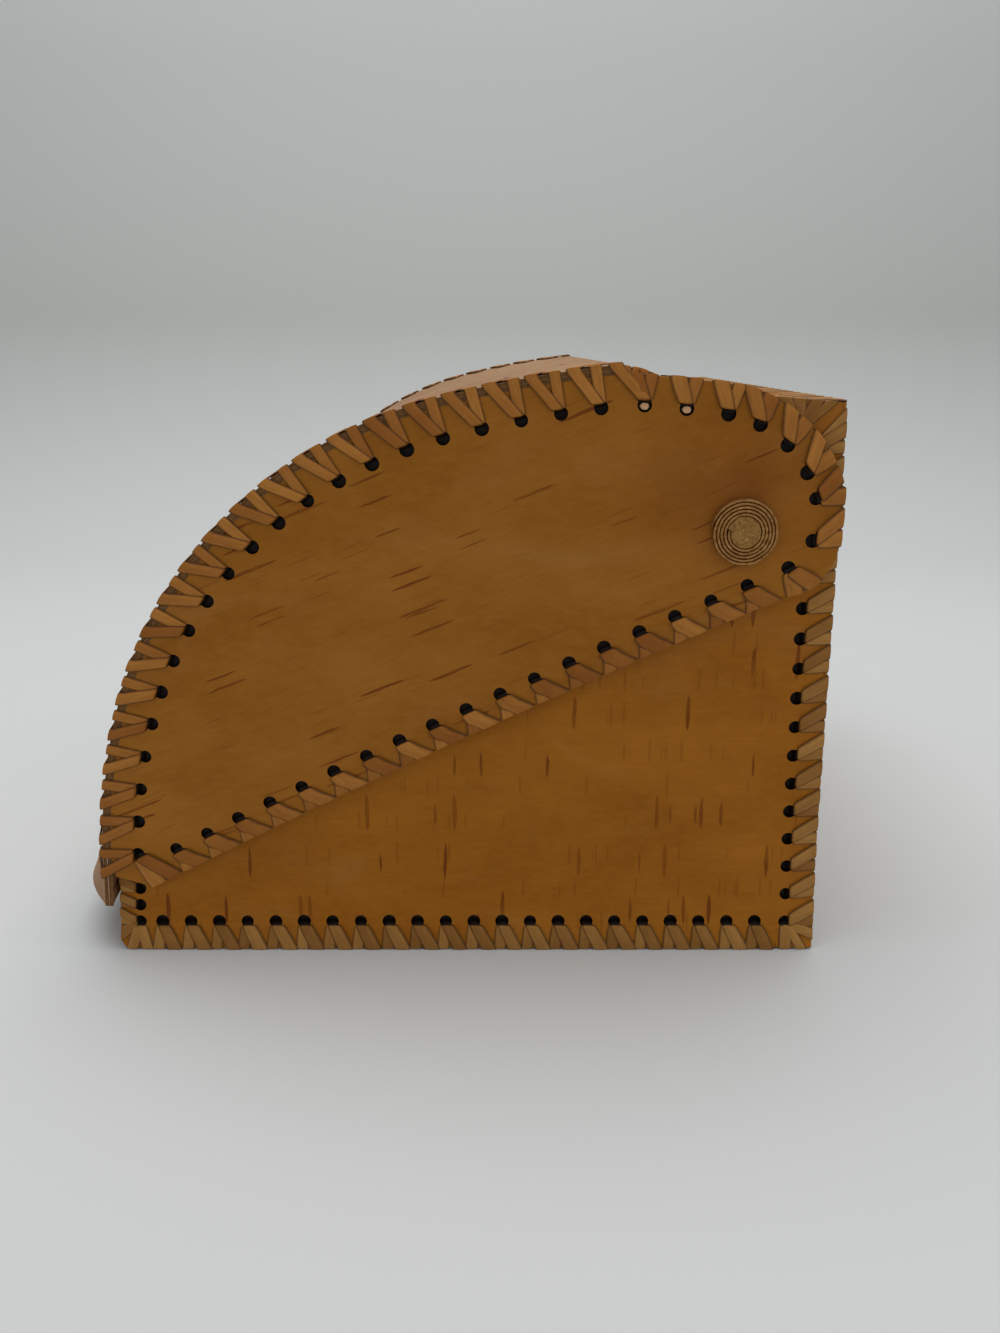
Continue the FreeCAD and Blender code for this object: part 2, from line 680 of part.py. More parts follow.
across_runs = (
    ("lacing_foot_front", FOOT_FRONT, front_out, down, "foot_pitch", ("front_wall", "base_panel")),
    ("lacing_foot_rear", FOOT_REAR, rear_out, down, "foot_pitch", ("rear_panel", "base_panel")),
    ("lacing_crown", CROWN, rear_out, top_out, "box_pitch", ("rear_panel", "top_panel")),
)
for label, place, face, edge, spacing, sheets in across_runs:
    corner = straight(spot(place) - Vector(0, side_y, 0), Vector(0, 1, 0), face, edge)
    spots = places(2 * side_y, worth(spacing), 2 * inset, 2 * inset)
    box_lacing(label, corner, spots, sheets)

# Lacing of the lid
cover_curves = outline_curves(cover_line, cover_joint(COVER_END, "0"))
cover_length = sum(curve.length() for curve in cover_curves)
free_curves = outline_curves(lid_free, lid_arcs[0].start)
free_length = sum(curve.length() for curve in free_curves)
lower_length = free_curves[0].length()
room = worth("cover_room")
slant = worth("cover_slant")
low_room = worth("free_slant + strip_width / 2")
high_room = worth("free_inset + 2 * free_slant")
lower_spots = places(lower_length, worth("lower_pitch"), worth("lower_room"), low_room)
upper_length = free_length - lower_length
upper_spots = places(upper_length, worth("free_pitch"), worth("heel_room"), high_room)
free_spots = lower_spots + [lower_length + place for place in upper_spots]
for name, out in BOX_SIDES:
    side = f"lid_side_{name}"
    rim = curved(cover_curves, out * worth("box_width / 2"))
    spots = places(cover_length, worth("cover_pitch"), room, room + slant)
    pieces[f"lacing_cover_{name}"] = lace_corner(
        f"lacing_cover_{name}",
        rim,
        spots,
        (side, "cover_outer"),
        (LID_HOLE_SIDES, BOX_HOLE_SIDES),
        (worth("cover_inset"), worth("box_inset")),
        (0, slant),
    )
    rim = curved(free_curves, out * worth("box_width / 2"))
    label = f"lacing_lid_{name}"
    pieces[label] = lace_edge(label, rim, free_spots, side)

# Punch the sheets
for label, blank in blanks.items():
    if label in punches:
        tool = doc.addObject("Part::Feature", f"{label}_holes")
        tool.Shape = Part.makeCompound(punches[label])
        punched = doc.addObject("Part::Cut", label)
        punched.Base = blank
        punched.Tool = tool
        pieces[label] = punched
    else:
        pieces[label] = blank

doc.recompute()
for thing in doc.Objects:
    if "Invalid" in thing.State or "Error" in thing.State:
        raise RuntimeError(f"{thing.Name} failed: {thing.State}")
os.makedirs("parts", exist_ok=True)
for label, piece in pieces.items():
    piece.Label = label
    shape = piece.Shape
    if shape.isNull() or not shape.isValid():
        raise RuntimeError(f"{label} has no valid shape")
    shape.exportStep(f"parts/{label}.step")
print(len(pieces), "pieces")
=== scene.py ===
"""Dresses the birch bark box: bark sheets, lacing, buttons and a plain studio stage."""

import math
from types import SimpleNamespace

import bpy
import numpy as np
from mathutils import Euler, Matrix, Vector


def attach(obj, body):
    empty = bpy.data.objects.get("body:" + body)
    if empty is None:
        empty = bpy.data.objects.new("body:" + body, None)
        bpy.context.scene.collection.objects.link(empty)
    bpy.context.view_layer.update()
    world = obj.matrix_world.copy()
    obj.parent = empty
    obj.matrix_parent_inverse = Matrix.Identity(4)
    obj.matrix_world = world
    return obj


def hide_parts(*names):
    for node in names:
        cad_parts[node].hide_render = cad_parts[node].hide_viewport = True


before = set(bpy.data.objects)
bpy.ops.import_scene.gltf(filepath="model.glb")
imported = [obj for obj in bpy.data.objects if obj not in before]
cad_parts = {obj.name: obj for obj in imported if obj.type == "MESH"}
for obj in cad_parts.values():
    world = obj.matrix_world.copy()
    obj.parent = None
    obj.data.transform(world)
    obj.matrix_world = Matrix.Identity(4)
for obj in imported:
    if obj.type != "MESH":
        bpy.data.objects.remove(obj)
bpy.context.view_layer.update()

bl_info = {
    "name": "Birch bark box",
    "version": (1, 0, 0),
    "blender": (4, 5, 0),
    "location": "3D View > Sidebar > Bark box",
    "description": "Builds a laced birch bark box with a swinging lid",
    "category": "Add Mesh",
}

MM = 0.001
OUTS = (("near", -1), ("far", 1))
RIGHT = np.array([1.0, 0.0, 0.0])
BACK = np.array([0.0, 1.0, 0.0])
UP = np.array([0.0, 0.0, 1.0])


# Properties

def length(name, size, description):
    """A length, its default given in millimetres."""
    size *= MM
    return bpy.props.FloatProperty(
        name=name, description=description, default=size, unit="LENGTH", precision=5
    )


def angle(name, size, description):
    """An angle, its default given in degrees."""
    size = math.radians(size)
    return bpy.props.FloatProperty(
        name=name, description=description, default=size, unit="ROTATION", precision=4
    )


def number(name, size, description):
    """A plain number."""
    return bpy.props.FloatProperty(name=name, description=description, default=size)


def linear(shade):
    """Scene-linear value of a display value from 0 to 255, by the sRGB curve."""
    share = shade / 255
    return share / 12.92 if share <= 0.04045 else ((share + 0.055) / 1.055) ** 2.4


def paint(name, shades, description):
    """A colour, its default given as red, green and blue from 0 to 255."""
    default = tuple(linear(shade) for shade in shades)
    return bpy.props.FloatVectorProperty(
        name=name, description=description, default=default, subtype="COLOR", min=0, max=1
    )


class BoxSizes(bpy.types.PropertyGroup):
    """Sizes of the fixed box."""

    panel: length("Sheet", 2, "Thickness of the box's bark sheets")
    side_face: length("Side face", 120.6, "From the middle plane to the outer face of a side")
    front_reach: length("Front reach", 105.5, "From the origin to the front")
    rear_reach: length("Rear reach", 122.7, "From the origin to the foot of the rear")
    rear_lean: length("Rear lean", 2.6, "How far the rear leans forward")
    rear_height: length("Rear height", 176.6, "Height of the rear over the underside")
    top_reach: length("Top reach", 82.7, "From the foot of the rear to the end of the top")
    brow_rise: length("Brow rise", 5.2, "How much higher the top's front edge is than its rear")
    brow_radius: length("Brow radius", 260, "Radius of the side's curved edge")
    wall_height: length("Wall height", 27, "Height of the front wall")
    underside: length("Underside", 0.65, "Height of the sheets over the floor")
    flare: length("Flare", 3.9, "How far a side stands out further at its foot")
    front_flare: length("Front flare", 1.5, "How far the front stands out at its foot")
    flare_height: length("Flare height", 45, "Height over which a side stands out")
    toe_radius: length("Toe radius", 3.2, "Radius of the box's front corner at the floor")


class LidSizes(bpy.types.PropertyGroup):
    """Sizes of the lid."""

    width: length("Width", 250, "Over the lid's two sides")
    panel: length("Side sheet", 1.6, "Thickness of the lid's sides")
    bark: length("Cover layer", 1.3, "Thickness of each of the cover's two layers")
    seam: length("Seam", 0.05, "Gap between layers")
    lap: length("Lap", 13.8, "How far the cover laps over the top")
    rise: length("Rise", 5.55, "Height of the cover's rear end over the top")
    front_gap: length("Front gap", 4.2, "Cover's front end ahead of the front wall")
    front_rise: length("Front rise", 6.25, "Cover's front end over the front wall's head")
    rear_radius: length("Rear radius", 358, "Radius of the cover's rear arc")
    start_angle: angle("Start angle", 5.6, "Slope of the cover at its rear end")
    rear_angle: angle("Rear angle", 8.7, "Turn of the rear arc")
    main_angle: angle("Main angle", 58, "Turn of the main arc")
    front_angle: angle("Front angle", 14.6, "Turn of the front arc")
    lip_length: length("Lip length", 17.5, "Length of the lip below the sides")
    lip_bow: length("Lip bow", 14, "How far the lip bows out between its ends")
    lip_run: length("Lip run", 40, "From a lip's end to where it bows fully")
    lip_lead: length("Lip lead", 26, "Where the bow starts, above the cover's end")
    toe_ahead: length("Toe ahead", 0.7, "Front toe of the side, ahead of the front wall")
    toe_drop: length("Toe drop", 6.9, "Front toe below the cover's end")
    sole_behind: length("Sole behind", 11.2, "Second corner of the toe, behind the first")
    sole_drop: length("Sole drop", 3.4, "Second corner of the toe, below the first")
    lower_radius: length("Lower radius", 3000, "Radius of the lower edge")
    heel_behind: length("Heel behind", 13.7, "Heel, behind the pivot")
    heel_below: length("Heel below", 19.2, "Heel, below the pivot")
    heel_radius: length("Heel radius", 17, "Radius round the heel")
    rear_behind: length("Rear behind", 29, "Rear edge, behind the pivot")
    rear_below: length("Rear below", 4, "Foot of the rear edge, below the pivot")
    rear_above: length("Rear above", 12, "Head of the rear edge, above the pivot")
    shoulder_radius: length("Shoulder radius", 44, "Radius round the shoulder")
    shoulder_ahead: length("Shoulder ahead", 2.3, "Shoulder, ahead of the pivot")
    shoulder_above: length("Shoulder above", 42, "Shoulder, above the pivot")
    top_radius: length("Top radius", 300, "Radius of the top edge")
    pivot_inset: length("Pivot inset", 31.4, "Pivot ahead of the foot of the rear")
    pivot_drop: length("Pivot drop", 37.25, "Pivot below the head of the rear")


class LacingSizes(bpy.types.PropertyGroup):
    """Sizes of the lacing, its holes, the pegs and the buttons."""

    strip: length("Strip", 5.3, "Width of a lacing strip at the edge")
    neck: length("Neck", 3.7, "Width of a lacing strip in its hole")
    thickness: length("Thickness", 0.55, "Thickness of a lacing strip")
    hole: length("Hole", 4.3, "Width of a punched hole")
    box_pitch: length("Box pitch", 9.45, "Spacing of the holes of the box")
    front_pitch: length("Front pitch", 5.7, "Spacing of the holes of the front corners")
    foot_room: length("Foot room", 19.2, "From the foot's last even hole to its rear end")
    front_room: length("Front room", 6.6, "From the front's last hole to the wall's head")
    front_inset: length("Front inset", 6, "Holes of the front corners from the edge")
    cover_pitch: length("Cover pitch", 12.1, "Spacing of the holes along the cover")
    lower_pitch: length("Lower pitch", 11.6, "Spacing along the lid's lower edge")
    free_pitch: length("Free pitch", 12.6, "Spacing along the lid's other free edges")
    box_inset: length("Box inset", 9, "Holes of the box from the edge")
    cover_inset: length("Cover inset", 11.4, "Holes of the lid's side from the cover")
    free_inset: length("Free inset", 7.4, "Holes of the lid's free edges from the edge")
    corner_room: length("Corner room", 13.3, "From a corner of the box to the first hole")
    box_slant: length("Box slant", 4.6, "How far a strip of the box slants")
    cover_slant: length("Cover slant", 7.2, "How far the upper strips of the cover slant")
    cover_room: length("Cover room", 7, "From the cover's rear end to its first hole")
    cover_end: length("Cover end", 2, "From the cover's last hole to its front end")
    lower_end: length("Lower end", 9.3, "From the lower edge's last hole to the heel")
    lower_room: length("Lower room", 14.5, "From the toe to the first hole")
    toe_place: length("Toe place", 2.6, "The cover's last hole, from the toe along the edge")
    toe_inset: length("Toe inset", 11.72, "The cover's last hole, from the lower edge")
    heel_first: length("Heel first", 2.5, "From the heel to the first hole after it")
    heel_room: length("Heel room", 24.7, "From the heel to the second hole after it")
    top_room: length("Top room", 7.1, "From the cover's rear end to the last hole")
    peg: length("Peg", 4.3, "Radius of the pegs")
    button_gap: length("Button gap", 0.3, "Gap between lid and button")
    button_height: length("Button height", 3.2, "Height of the buttons")
    roll_start: length("Roll start", 0.5, "From the peg to the middle of the first turn")
    roll_pitch: length("Roll pitch", 1.03, "Spacing of the roll's turns")
    roll_bark: length("Roll bark", 0.87, "Thickness of the rolled bark")
    plate_width: length("Plate width", 17, "Width of the plate inside each peg")
    plate_height: length("Plate height", 3, "Thickness of the plate inside each peg")


class BarkColours(bpy.types.PropertyGroup):
    """Colours of bark, lacing and wood."""

    lid_light: paint("Lid light", (162, 104, 34), "Lighter parts of the lid's sides")
    lid_dark: paint("Lid dark", (143, 86, 15), "Darker parts of the lid's sides")
    box_light: paint("Box light", (168, 105, 25), "Lighter parts of the box's sides")
    box_dark: paint("Box dark", (148, 87, 11), "Darker parts of the box's sides")
    bloom: paint("Bloom", (164, 116, 66), "Pale rubbed patches")
    # The lenticels' colour also paints the shadow round the lid's button
    lens: paint("Lens", (108, 50, 2), "Lenticels of the bark")
    cover_light: paint("Cover light", (158, 120, 82), "Lighter parts of the cover")
    cover_dark: paint("Cover dark", (138, 98, 60), "Darker parts of the cover")
    edge_light: paint("Edge light", (168, 122, 74), "Pale layers of a bark edge")
    # Edge dark is the dark layers of a cut bark edge, and also the painted shade along the strips'
    # edges
    edge_dark: paint("Edge dark", (74, 44, 20), "Dark layers of a bark edge")
    strip_light: paint("Strip light", (184, 123, 53), "Lighter lacing")
    strip_dark: paint("Strip dark", (136, 78, 22), "Darker lacing")
    crown_light: paint("Crown light", (180, 131, 68), "Lighter lacing of the box")
    crown_dark: paint("Crown dark", (130, 85, 33), "Darker lacing of the box")
    knot: paint("Knot", (214, 172, 130), "Ends of strips that show in their holes")
    # Painted shadow inside the holes, on their walls and on the strips' ends in them
    shadow: paint("Shadow", (22, 12, 6), "Inside of the holes")
    roll_light: paint("Roll light", (188, 142, 84), "Rough ends of the rolled bark")
    roll_dark: paint("Roll dark", (128, 82, 36), "Faces of the rolled bark")
    wood_light: paint("Wood light", (184, 140, 78), "Light grain of the pegs")
    wood_dark: paint("Wood dark", (112, 70, 28), "Dark grain of the pegs")


class StageLook(bpy.types.PropertyGroup):
    """Colours and strengths of the stage."""

    floor: paint("Floor", (206, 208, 207), "Colour of the floor")
    # Bend and Wall grade the backdrop by height: painted shade above the bend, lighter again
    # higher up
    bend: paint("Bend", (178, 179, 176), "Colour of the backdrop above its bend")
    wall: paint("Wall", (201, 203, 201), "Colour of the backdrop higher up")
    sky: paint("Fill", (246, 248, 250), "Colour of the fill light")
    fill: number("Fill strength", 0.62, "Strength of the fill light")
    lamp: number("Lamp power", 9.0, "Power of the lamp overhead, in watts")


def read_sizes(group):
    """The group's values by name, with lengths in millimetres."""
    values = {}
    for name in group.__annotations__:
        value = getattr(group, name)
        if group.bl_rna.properties[name].unit == "LENGTH":
            value /= MM
        values[name] = value
    return SimpleNamespace(**values)


# Curves and places

class Rim:
    """A chain of lines and arcs in the XZ plane, read at any length along it.

    With r the length since an arc's start, k its curvature and h its first heading, a
    point is the start plus r * sinc(k r / 2) in the direction h + k r / 2. A positive
    radius bows to the left of the direction, a negative one to the right.
    """

    def __init__(self, corners, radii):
        corners = np.asarray(corners, float)
        steps = np.diff(corners, axis=0)
        spans = np.hypot(steps[:, 0], steps[:, 1])
        bows = np.array([1 / radius if radius else 0.0 for radius in radii])
        halves = np.arcsin(spans * bows / 2)
        self.corners = corners[:-1]
        self.headings = np.arctan2(steps[:, 1], steps[:, 0]) + halves
        self.bends = -bows
        self.joints = np.concatenate([[0], np.cumsum(spans / np.sinc(halves / np.pi))])
        self.length = self.joints[-1]

    def at(self, places):
        """Points and directions at the given lengths, as arrays of pairs."""
        places = np.asarray(places, float)
        part = np.searchsorted(self.joints, places, "right") - 1
        part = np.clip(part, 0, len(self.bends) - 1)
        since = places - self.joints[part]
        turn = self.bends[part] * since
        aim = self.headings[part] + turn / 2
        reach = (since * np.sinc(turn / (2 * np.pi)))[..., None]
        points = self.corners[part] + reach * np.stack([np.cos(aim), np.sin(aim)], -1)
        heading = self.headings[part] + turn
        return points, np.stack([np.cos(heading), np.sin(heading)], -1)

    def shares(self, count):
        """Places along the rim: even ones and every joint between its parts."""
        even = np.linspace(0, self.length, count)
        return np.unique(np.round(np.concatenate([even, self.joints]), 6))


def spatial(pairs, side=0.0):
    """Pairs in the XZ plane as points in space, at the given y."""
    pairs = np.asarray(pairs, float)
    side = np.broadcast_to(side, pairs.shape[:-1])
    return np.stack([pairs[..., 0], side, pairs[..., 1]], -1)


def unit(vectors):
    """Vectors brought to length one."""
    return vectors / np.linalg.norm(vectors, axis=-1, keepdims=True)


def flared(points, box):
    """Points of the box with its sides and its front spread at the foot.

    Each y grows in proportion by the flare over the side face, times the square of one
    less the height over the flare's height. Each x ahead of the origin does the same.
    The square corner at the front of the foot is drawn in to a round one: a step from
    the corner's centre is scaled by its longer part over its length.
    """
    share = np.clip(1 - points[..., 2] / box.flare_height, 0, 1) ** 2
    spread = np.array(points, float)
    spread[..., 1] *= 1 + share * box.flare / box.side_face
    ahead = np.clip(-spread[..., 0] / box.front_reach, 0, 1)
    spread[..., 0] -= share * ahead * box.front_flare
    low = box.underside + box.toe_radius
    centre = np.array([box.toe_radius - box.front_reach - box.front_flare, low])
    step = spread[..., [0, 2]] - centre
    longer = np.abs(step).max(-1, keepdims=True)
    drawn = step * longer / np.maximum(np.linalg.norm(step, axis=-1, keepdims=True), 1e-9)
    square = (step < 0).all(-1, keepdims=True)
    spread[..., [0, 2]] = centre + np.where(square, drawn, step)
    return spread


def bowed(points, plans, bow):
    """Points of the cover with its front end bowed out.

    A point moves out by bow * share of the way down to the power 1.25 * share of the
    width, where the share of the width rises from 0 at the ends as 1 - (1 - run) to the
    power 2.5, and the way down starts above the cover's end.
    """
    lid = plans.lid
    down = -np.array([math.cos(plans.front_slope), math.sin(plans.front_slope)])
    out = np.array([-math.sin(plans.front_slope), math.cos(plans.front_slope)])
    gone = (points[..., [0, 2]] - plans.end) @ down
    fall = np.clip((gone + lid.lip_lead) / (lid.lip_lead + lid.lip_length), 0, 1) ** 1.25
    run = np.clip((lid.width / 2 - np.abs(points[..., 1])) / lid.lip_run, 0, 1)
    reach = bow * fall * (1 - (1 - run) ** 2.5)
    return points + reach[..., None] * spatial(out)


def straight(start, along, face, edge):
    """A laced corner that runs straight: point, along, face and edge at each place."""

    def at(places):
        places = np.asarray(places, float)[..., None]
        points = start + along * places
        return points, along + 0 * points, face + 0 * points, edge + 0 * points

    return at


def curved(rim, side):
    """A laced corner along a rim of the XZ plane, at the given y."""

    def at(places):
        pairs, along = rim.at(places)
        points = spatial(pairs, side)
        edge = np.stack([along[..., 1], -along[..., 0]], -1)
        return points, spatial(along), math.copysign(1, side) * BACK + 0 * points, spatial(edge)

    return at


def even_places(reach, pitch, first, last):
    """Even places along a length, about one pitch apart, clear of its ends."""
    room = reach - first - last
    gaps = max(1, round(room / pitch))
    return first + room * np.arange(gaps + 1) / gaps


def plan(context):
    """Every place that more than one piece uses, worked out from the sizes."""
    scene = context.scene
    box = read_sizes(scene.bark_box)
    lid = read_sizes(scene.bark_lid)
    lace = read_sizes(scene.bark_lacing)
    foot_front = np.array([-box.front_reach, box.underside])
    foot_rear = np.array([box.rear_reach, box.underside])
    crown = np.array([box.rear_reach - box.rear_lean, box.underside + box.rear_height])
    brow = np.array([box.rear_reach - box.top_reach, crown[1] + box.brow_rise])
    head = np.array([-box.front_reach, box.underside + box.wall_height])
    pivot = np.array([box.rear_reach - lid.pivot_inset, crown[1] - lid.pivot_drop])
    rise, ahead = unit(crown - foot_rear), unit(brow - crown)
    start = brow + [lid.lap, lid.rise]
    end = head + [-lid.front_gap, lid.front_rise]
    turns = (lid.rear_angle, lid.main_angle, lid.front_angle)
    slopes = lid.start_angle + np.concatenate([[0], np.cumsum(turns)])
    runs = np.diff(np.sin(slopes))
    drops = -np.diff(np.cos(slopes))
    left = start - end - lid.rear_radius * np.array([runs[0], drops[0]])
    radii = np.linalg.solve([[runs[1], runs[2]], [drops[1], drops[2]]], left)
    radii = np.array([lid.rear_radius, *radii])
    steps = np.stack([runs, drops], -1) * radii[:, None]
    joints = start - np.concatenate([[[0, 0]], np.cumsum(steps, axis=0)])
    inward = np.stack([np.sin(slopes), -np.cos(slopes)], -1)
    lining_depth = lid.bark + lid.seam
    lid_depth = 2 * lid.bark + 2 * lid.seam
    rims = {}
    for name, depth in (
        ("outer", 0.0),
        ("outer_under", lid.bark),
        ("lining", lining_depth),
        ("lining_under", lining_depth + lid.bark),
        ("side", lid_depth),
    ):
        rims[name] = Rim(joints + inward * depth, -(radii - depth))
    toe = np.array([-box.front_reach - lid.toe_ahead, end[1] - lid.toe_drop])
    sole = toe + [lid.sole_behind, -lid.sole_drop]
    heel = pivot + [lid.heel_behind, -lid.heel_below]
    rear_low = pivot + [lid.rear_behind, -lid.rear_below]
    rear_high = pivot + [lid.rear_behind, lid.rear_above]
    shoulder = pivot + [-lid.shoulder_ahead, lid.shoulder_above]
    side_start = (joints + inward * lid_depth)[0]
    free = (sole, heel, rear_low, rear_high, shoulder, side_start)
    bows = (lid.lower_radius, -lid.heel_radius, None, -lid.shoulder_radius, -lid.top_radius)
    rims["free"] = Rim(free, bows)
    rims["lower"] = Rim((toe, *free[:3]), (None, *bows[:2]))
    rims["upper"] = Rim(free[3:], bows[3:])
    return SimpleNamespace(
        box=box, lid=lid, lace=lace, rims=rims, pivot=pivot, end=end,
        foot_front=foot_front, foot_rear=foot_rear, crown=crown, brow=brow, head=head,
        front_slope=slopes[-1], rise=rise, ahead=ahead,
        rear_out=spatial([rise[1], -rise[0]]), top_out=spatial([ahead[1], -ahead[0]]),
    )


# Meshes

# Edges that turn more than this show as edges
SHARP = math.radians(38)


def smooth_noise(places, seed, waves=6):
    """Gentle waviness from -1 to 1: a sum of seeded sines of the place's coordinates."""
    draw = np.random.default_rng(seed)
    places = np.asarray(places, float)
    total = np.zeros(places.shape[:-1])
    for _ in range(waves):
        ways = draw.normal(size=places.shape[-1])
        total += np.sin(places @ ways + draw.uniform(0, 2 * np.pi))
    return total / waves


def face_outward(points, faces):
    """The quads as they are, or turned round where they enclose a negative volume."""
    first, second, third, fourth = np.moveaxis(points[faces], 1, 0)
    volume = (np.cross(first, second) * third).sum() + (np.cross(first, third) * fourth).sum()
    return faces if volume > 0 else faces[:, ::-1]


def new_mesh(name, points, faces, finishes, kinds=None, attributes=None):
    """An object at the origin, from points in millimetres and quads or triangles.

    A quad that repeats its last corner stands for a triangle.
    """
    faces = face_outward(points, faces)
    turned = [list(dict.fromkeys(face)) for face in faces.tolist()]
    mesh = bpy.data.meshes.new(name)
    mesh.from_pydata((points * MM).tolist(), [], turned)
    for finish in finishes:
        mesh.materials.append(finish)
    if kinds is not None:
        mesh.polygons.foreach_set("material_index", kinds.astype(np.int32))
    for label, values in (attributes or {}).items():
        kind = "FLOAT_VECTOR" if values.ndim > 1 else "FLOAT"
        stored = mesh.attributes.new(label, kind, "POINT")
        field = "vector" if values.ndim > 1 else "value"
        stored.data.foreach_set(field, values.astype(np.float32).ravel())
    mesh.shade_smooth()
    mesh.set_sharp_from_angle(angle=SHARP)
    return place_in_scene(name, mesh)


def finish_piece(thing, body, slot, *nodes):
    """Hand a piece over to its body, in place of the CAD nodes; the slot is not used."""
    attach(thing, body)
    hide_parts(*nodes)


def place_in_scene(name, data):
    """An object that holds the data, linked to the scene."""
    thing = bpy.data.objects.new(name, data)
    bpy.context.scene.collection.objects.link(thing)
    return thing


def patches(count, closed=False):
    """Quads between neighbours in a grid of point numbers, closed round its last axis or not."""
    if closed:
        count = np.concatenate([count, count[..., :1]], -1)
    upper, lower = count[..., :-1, :], count[..., 1:, :]
    corners = (upper[..., :-1], upper[..., 1:], lower[..., 1:], lower[..., :-1])
    return np.stack(corners, -1).reshape(-1, 4)


def fan(ring):
    """Quads that fill an odd ring of point numbers from its first; the last is a triangle."""
    last = ring.shape[-1] - 1
    picks = [[0, step, step + 1, min(step + 2, last)] for step in range(1, last, 2)]
    return ring[..., picks].reshape(-1, 4)


def slab(name, outer, inner, finishes):
    """A closed sheet between two grids of points: its faces, and a rim round them."""
    half = outer[..., 0].size
    count = np.arange(half).reshape(outer.shape[:2])
    front = patches(count)
    loop = np.concatenate([count[0, :-1], count[:-1, -1], count[-1, :0:-1], count[:0:-1, 0]])
    after = np.roll(loop, -1)
    rim = np.stack([after, loop, loop + half, after + half], -1)
    faces = np.concatenate([front, front[:, ::-1] + half, rim])
    kinds = np.repeat([0, 1], [2 * len(front), len(rim)])
    points = np.concatenate([outer.reshape(-1, 3), inner.reshape(-1, 3)])
    layer = np.repeat([0.0, 1.0], half)
    return new_mesh(name, points, faces, finishes, kinds, {"layer": layer})


def capped(name, rings, finishes):
    """A closed piece: a stack of rings of points, and a pole in the middle of each end."""
    count = np.arange(rings[..., 0].size).reshape(rings.shape[:2])
    faces = [patches(count, True)]
    for ring, pole in ((count[0, ::-1], count.size), (count[-1], count.size + 1)):
        tip = np.full_like(ring, pole)
        faces.append(np.stack([ring, np.roll(ring, -1), tip, tip], -1))
    poles = [rings[0].mean(0), rings[-1].mean(0)]
    points = np.concatenate([rings.reshape(-1, 3), poles])
    return new_mesh(name, points, np.concatenate(faces), finishes)


def rods(name, centres, axes, radii, reach, sides=22):
    """Closed round rods: rings of centre plus radius times cosine and sine of the turn."""
    axes = unit(axes)
    helper = np.where(np.abs(axes[:, :1]) > 0.9, UP, RIGHT)
    first = unit(np.cross(axes, helper))
    second = np.cross(axes, first)
    turn = np.linspace(0, 2 * np.pi, sides, endpoint=False)[:, None]
    spokes = np.cos(turn) * first[:, None] + np.sin(turn) * second[:, None]
    ring = centres[:, None] + radii[:, None, None] * spokes
    ends = np.stack([ring - reach * axes[:, None], ring + reach * axes[:, None]], 1)
    faces = []
    for rod in range(len(centres)):
        lower = list(range(2 * sides * rod, 2 * sides * rod + sides))
        upper = [corner + sides for corner in lower]
        faces += [lower[::-1], upper]
        pairs = zip(lower, lower[1:] + lower[:1])
        faces += [[here, there, there + sides, here + sides] for here, there in pairs]
    mesh = bpy.data.meshes.new(name)
    mesh.from_pydata((ends.reshape(-1, 3) * MM).tolist(), [], faces)
    return place_in_scene(name, mesh)


# How far a punch reaches past the middle of its hole, either way, in millimetres
PUNCH_REACH = 3.9


def punch(thing, centres, axes, width, finishes, seed, bore=None):
    """Cut round holes through a sheet; the walls of the holes get the last finish."""
    draw = np.random.default_rng(seed)
    centres = np.asarray(centres, float)
    axes = np.asarray(axes, float)
    radii = width / 2 * draw.uniform(0.93, 1.04, len(centres))
    if bore is not None:
        centres = np.concatenate([centres, bore[0][None]])
        axes = np.concatenate([axes, BACK[None]])
        radii = np.concatenate([radii, [bore[1]]])
    cutter = rods(f"{thing.name}_cutter", centres, axes, radii, PUNCH_REACH)
    for finish in finishes:
        cutter.data.materials.append(finish)
    walls = np.full(len(cutter.data.polygons), len(finishes) - 1, np.int32)
    cutter.data.polygons.foreach_set("material_index", walls)
    holes = thing.modifiers.new("Holes", "BOOLEAN")
    holes.operation = "DIFFERENCE"
    holes.solver = "EXACT"
    holes.object = cutter
    graph = bpy.context.evaluated_depsgraph_get()
    mesh = bpy.data.meshes.new_from_object(thing.evaluated_get(graph))
    thing.modifiers.clear()
    if len(mesh.polygons) <= len(thing.data.polygons):
        raise RuntimeError(f"{thing.name}: no hole was cut")
    thing.data = mesh
    bpy.data.objects.remove(cutter)


# A strip's section, anticlockwise: shares of its half width and of its thickness
PROFILE = np.array([
    (-1, 0.3), (-0.82, 0.86), (0, 1.08), (0.82, 0.86), (1, 0.3), (0.8, 0), (-0.8, 0)
])


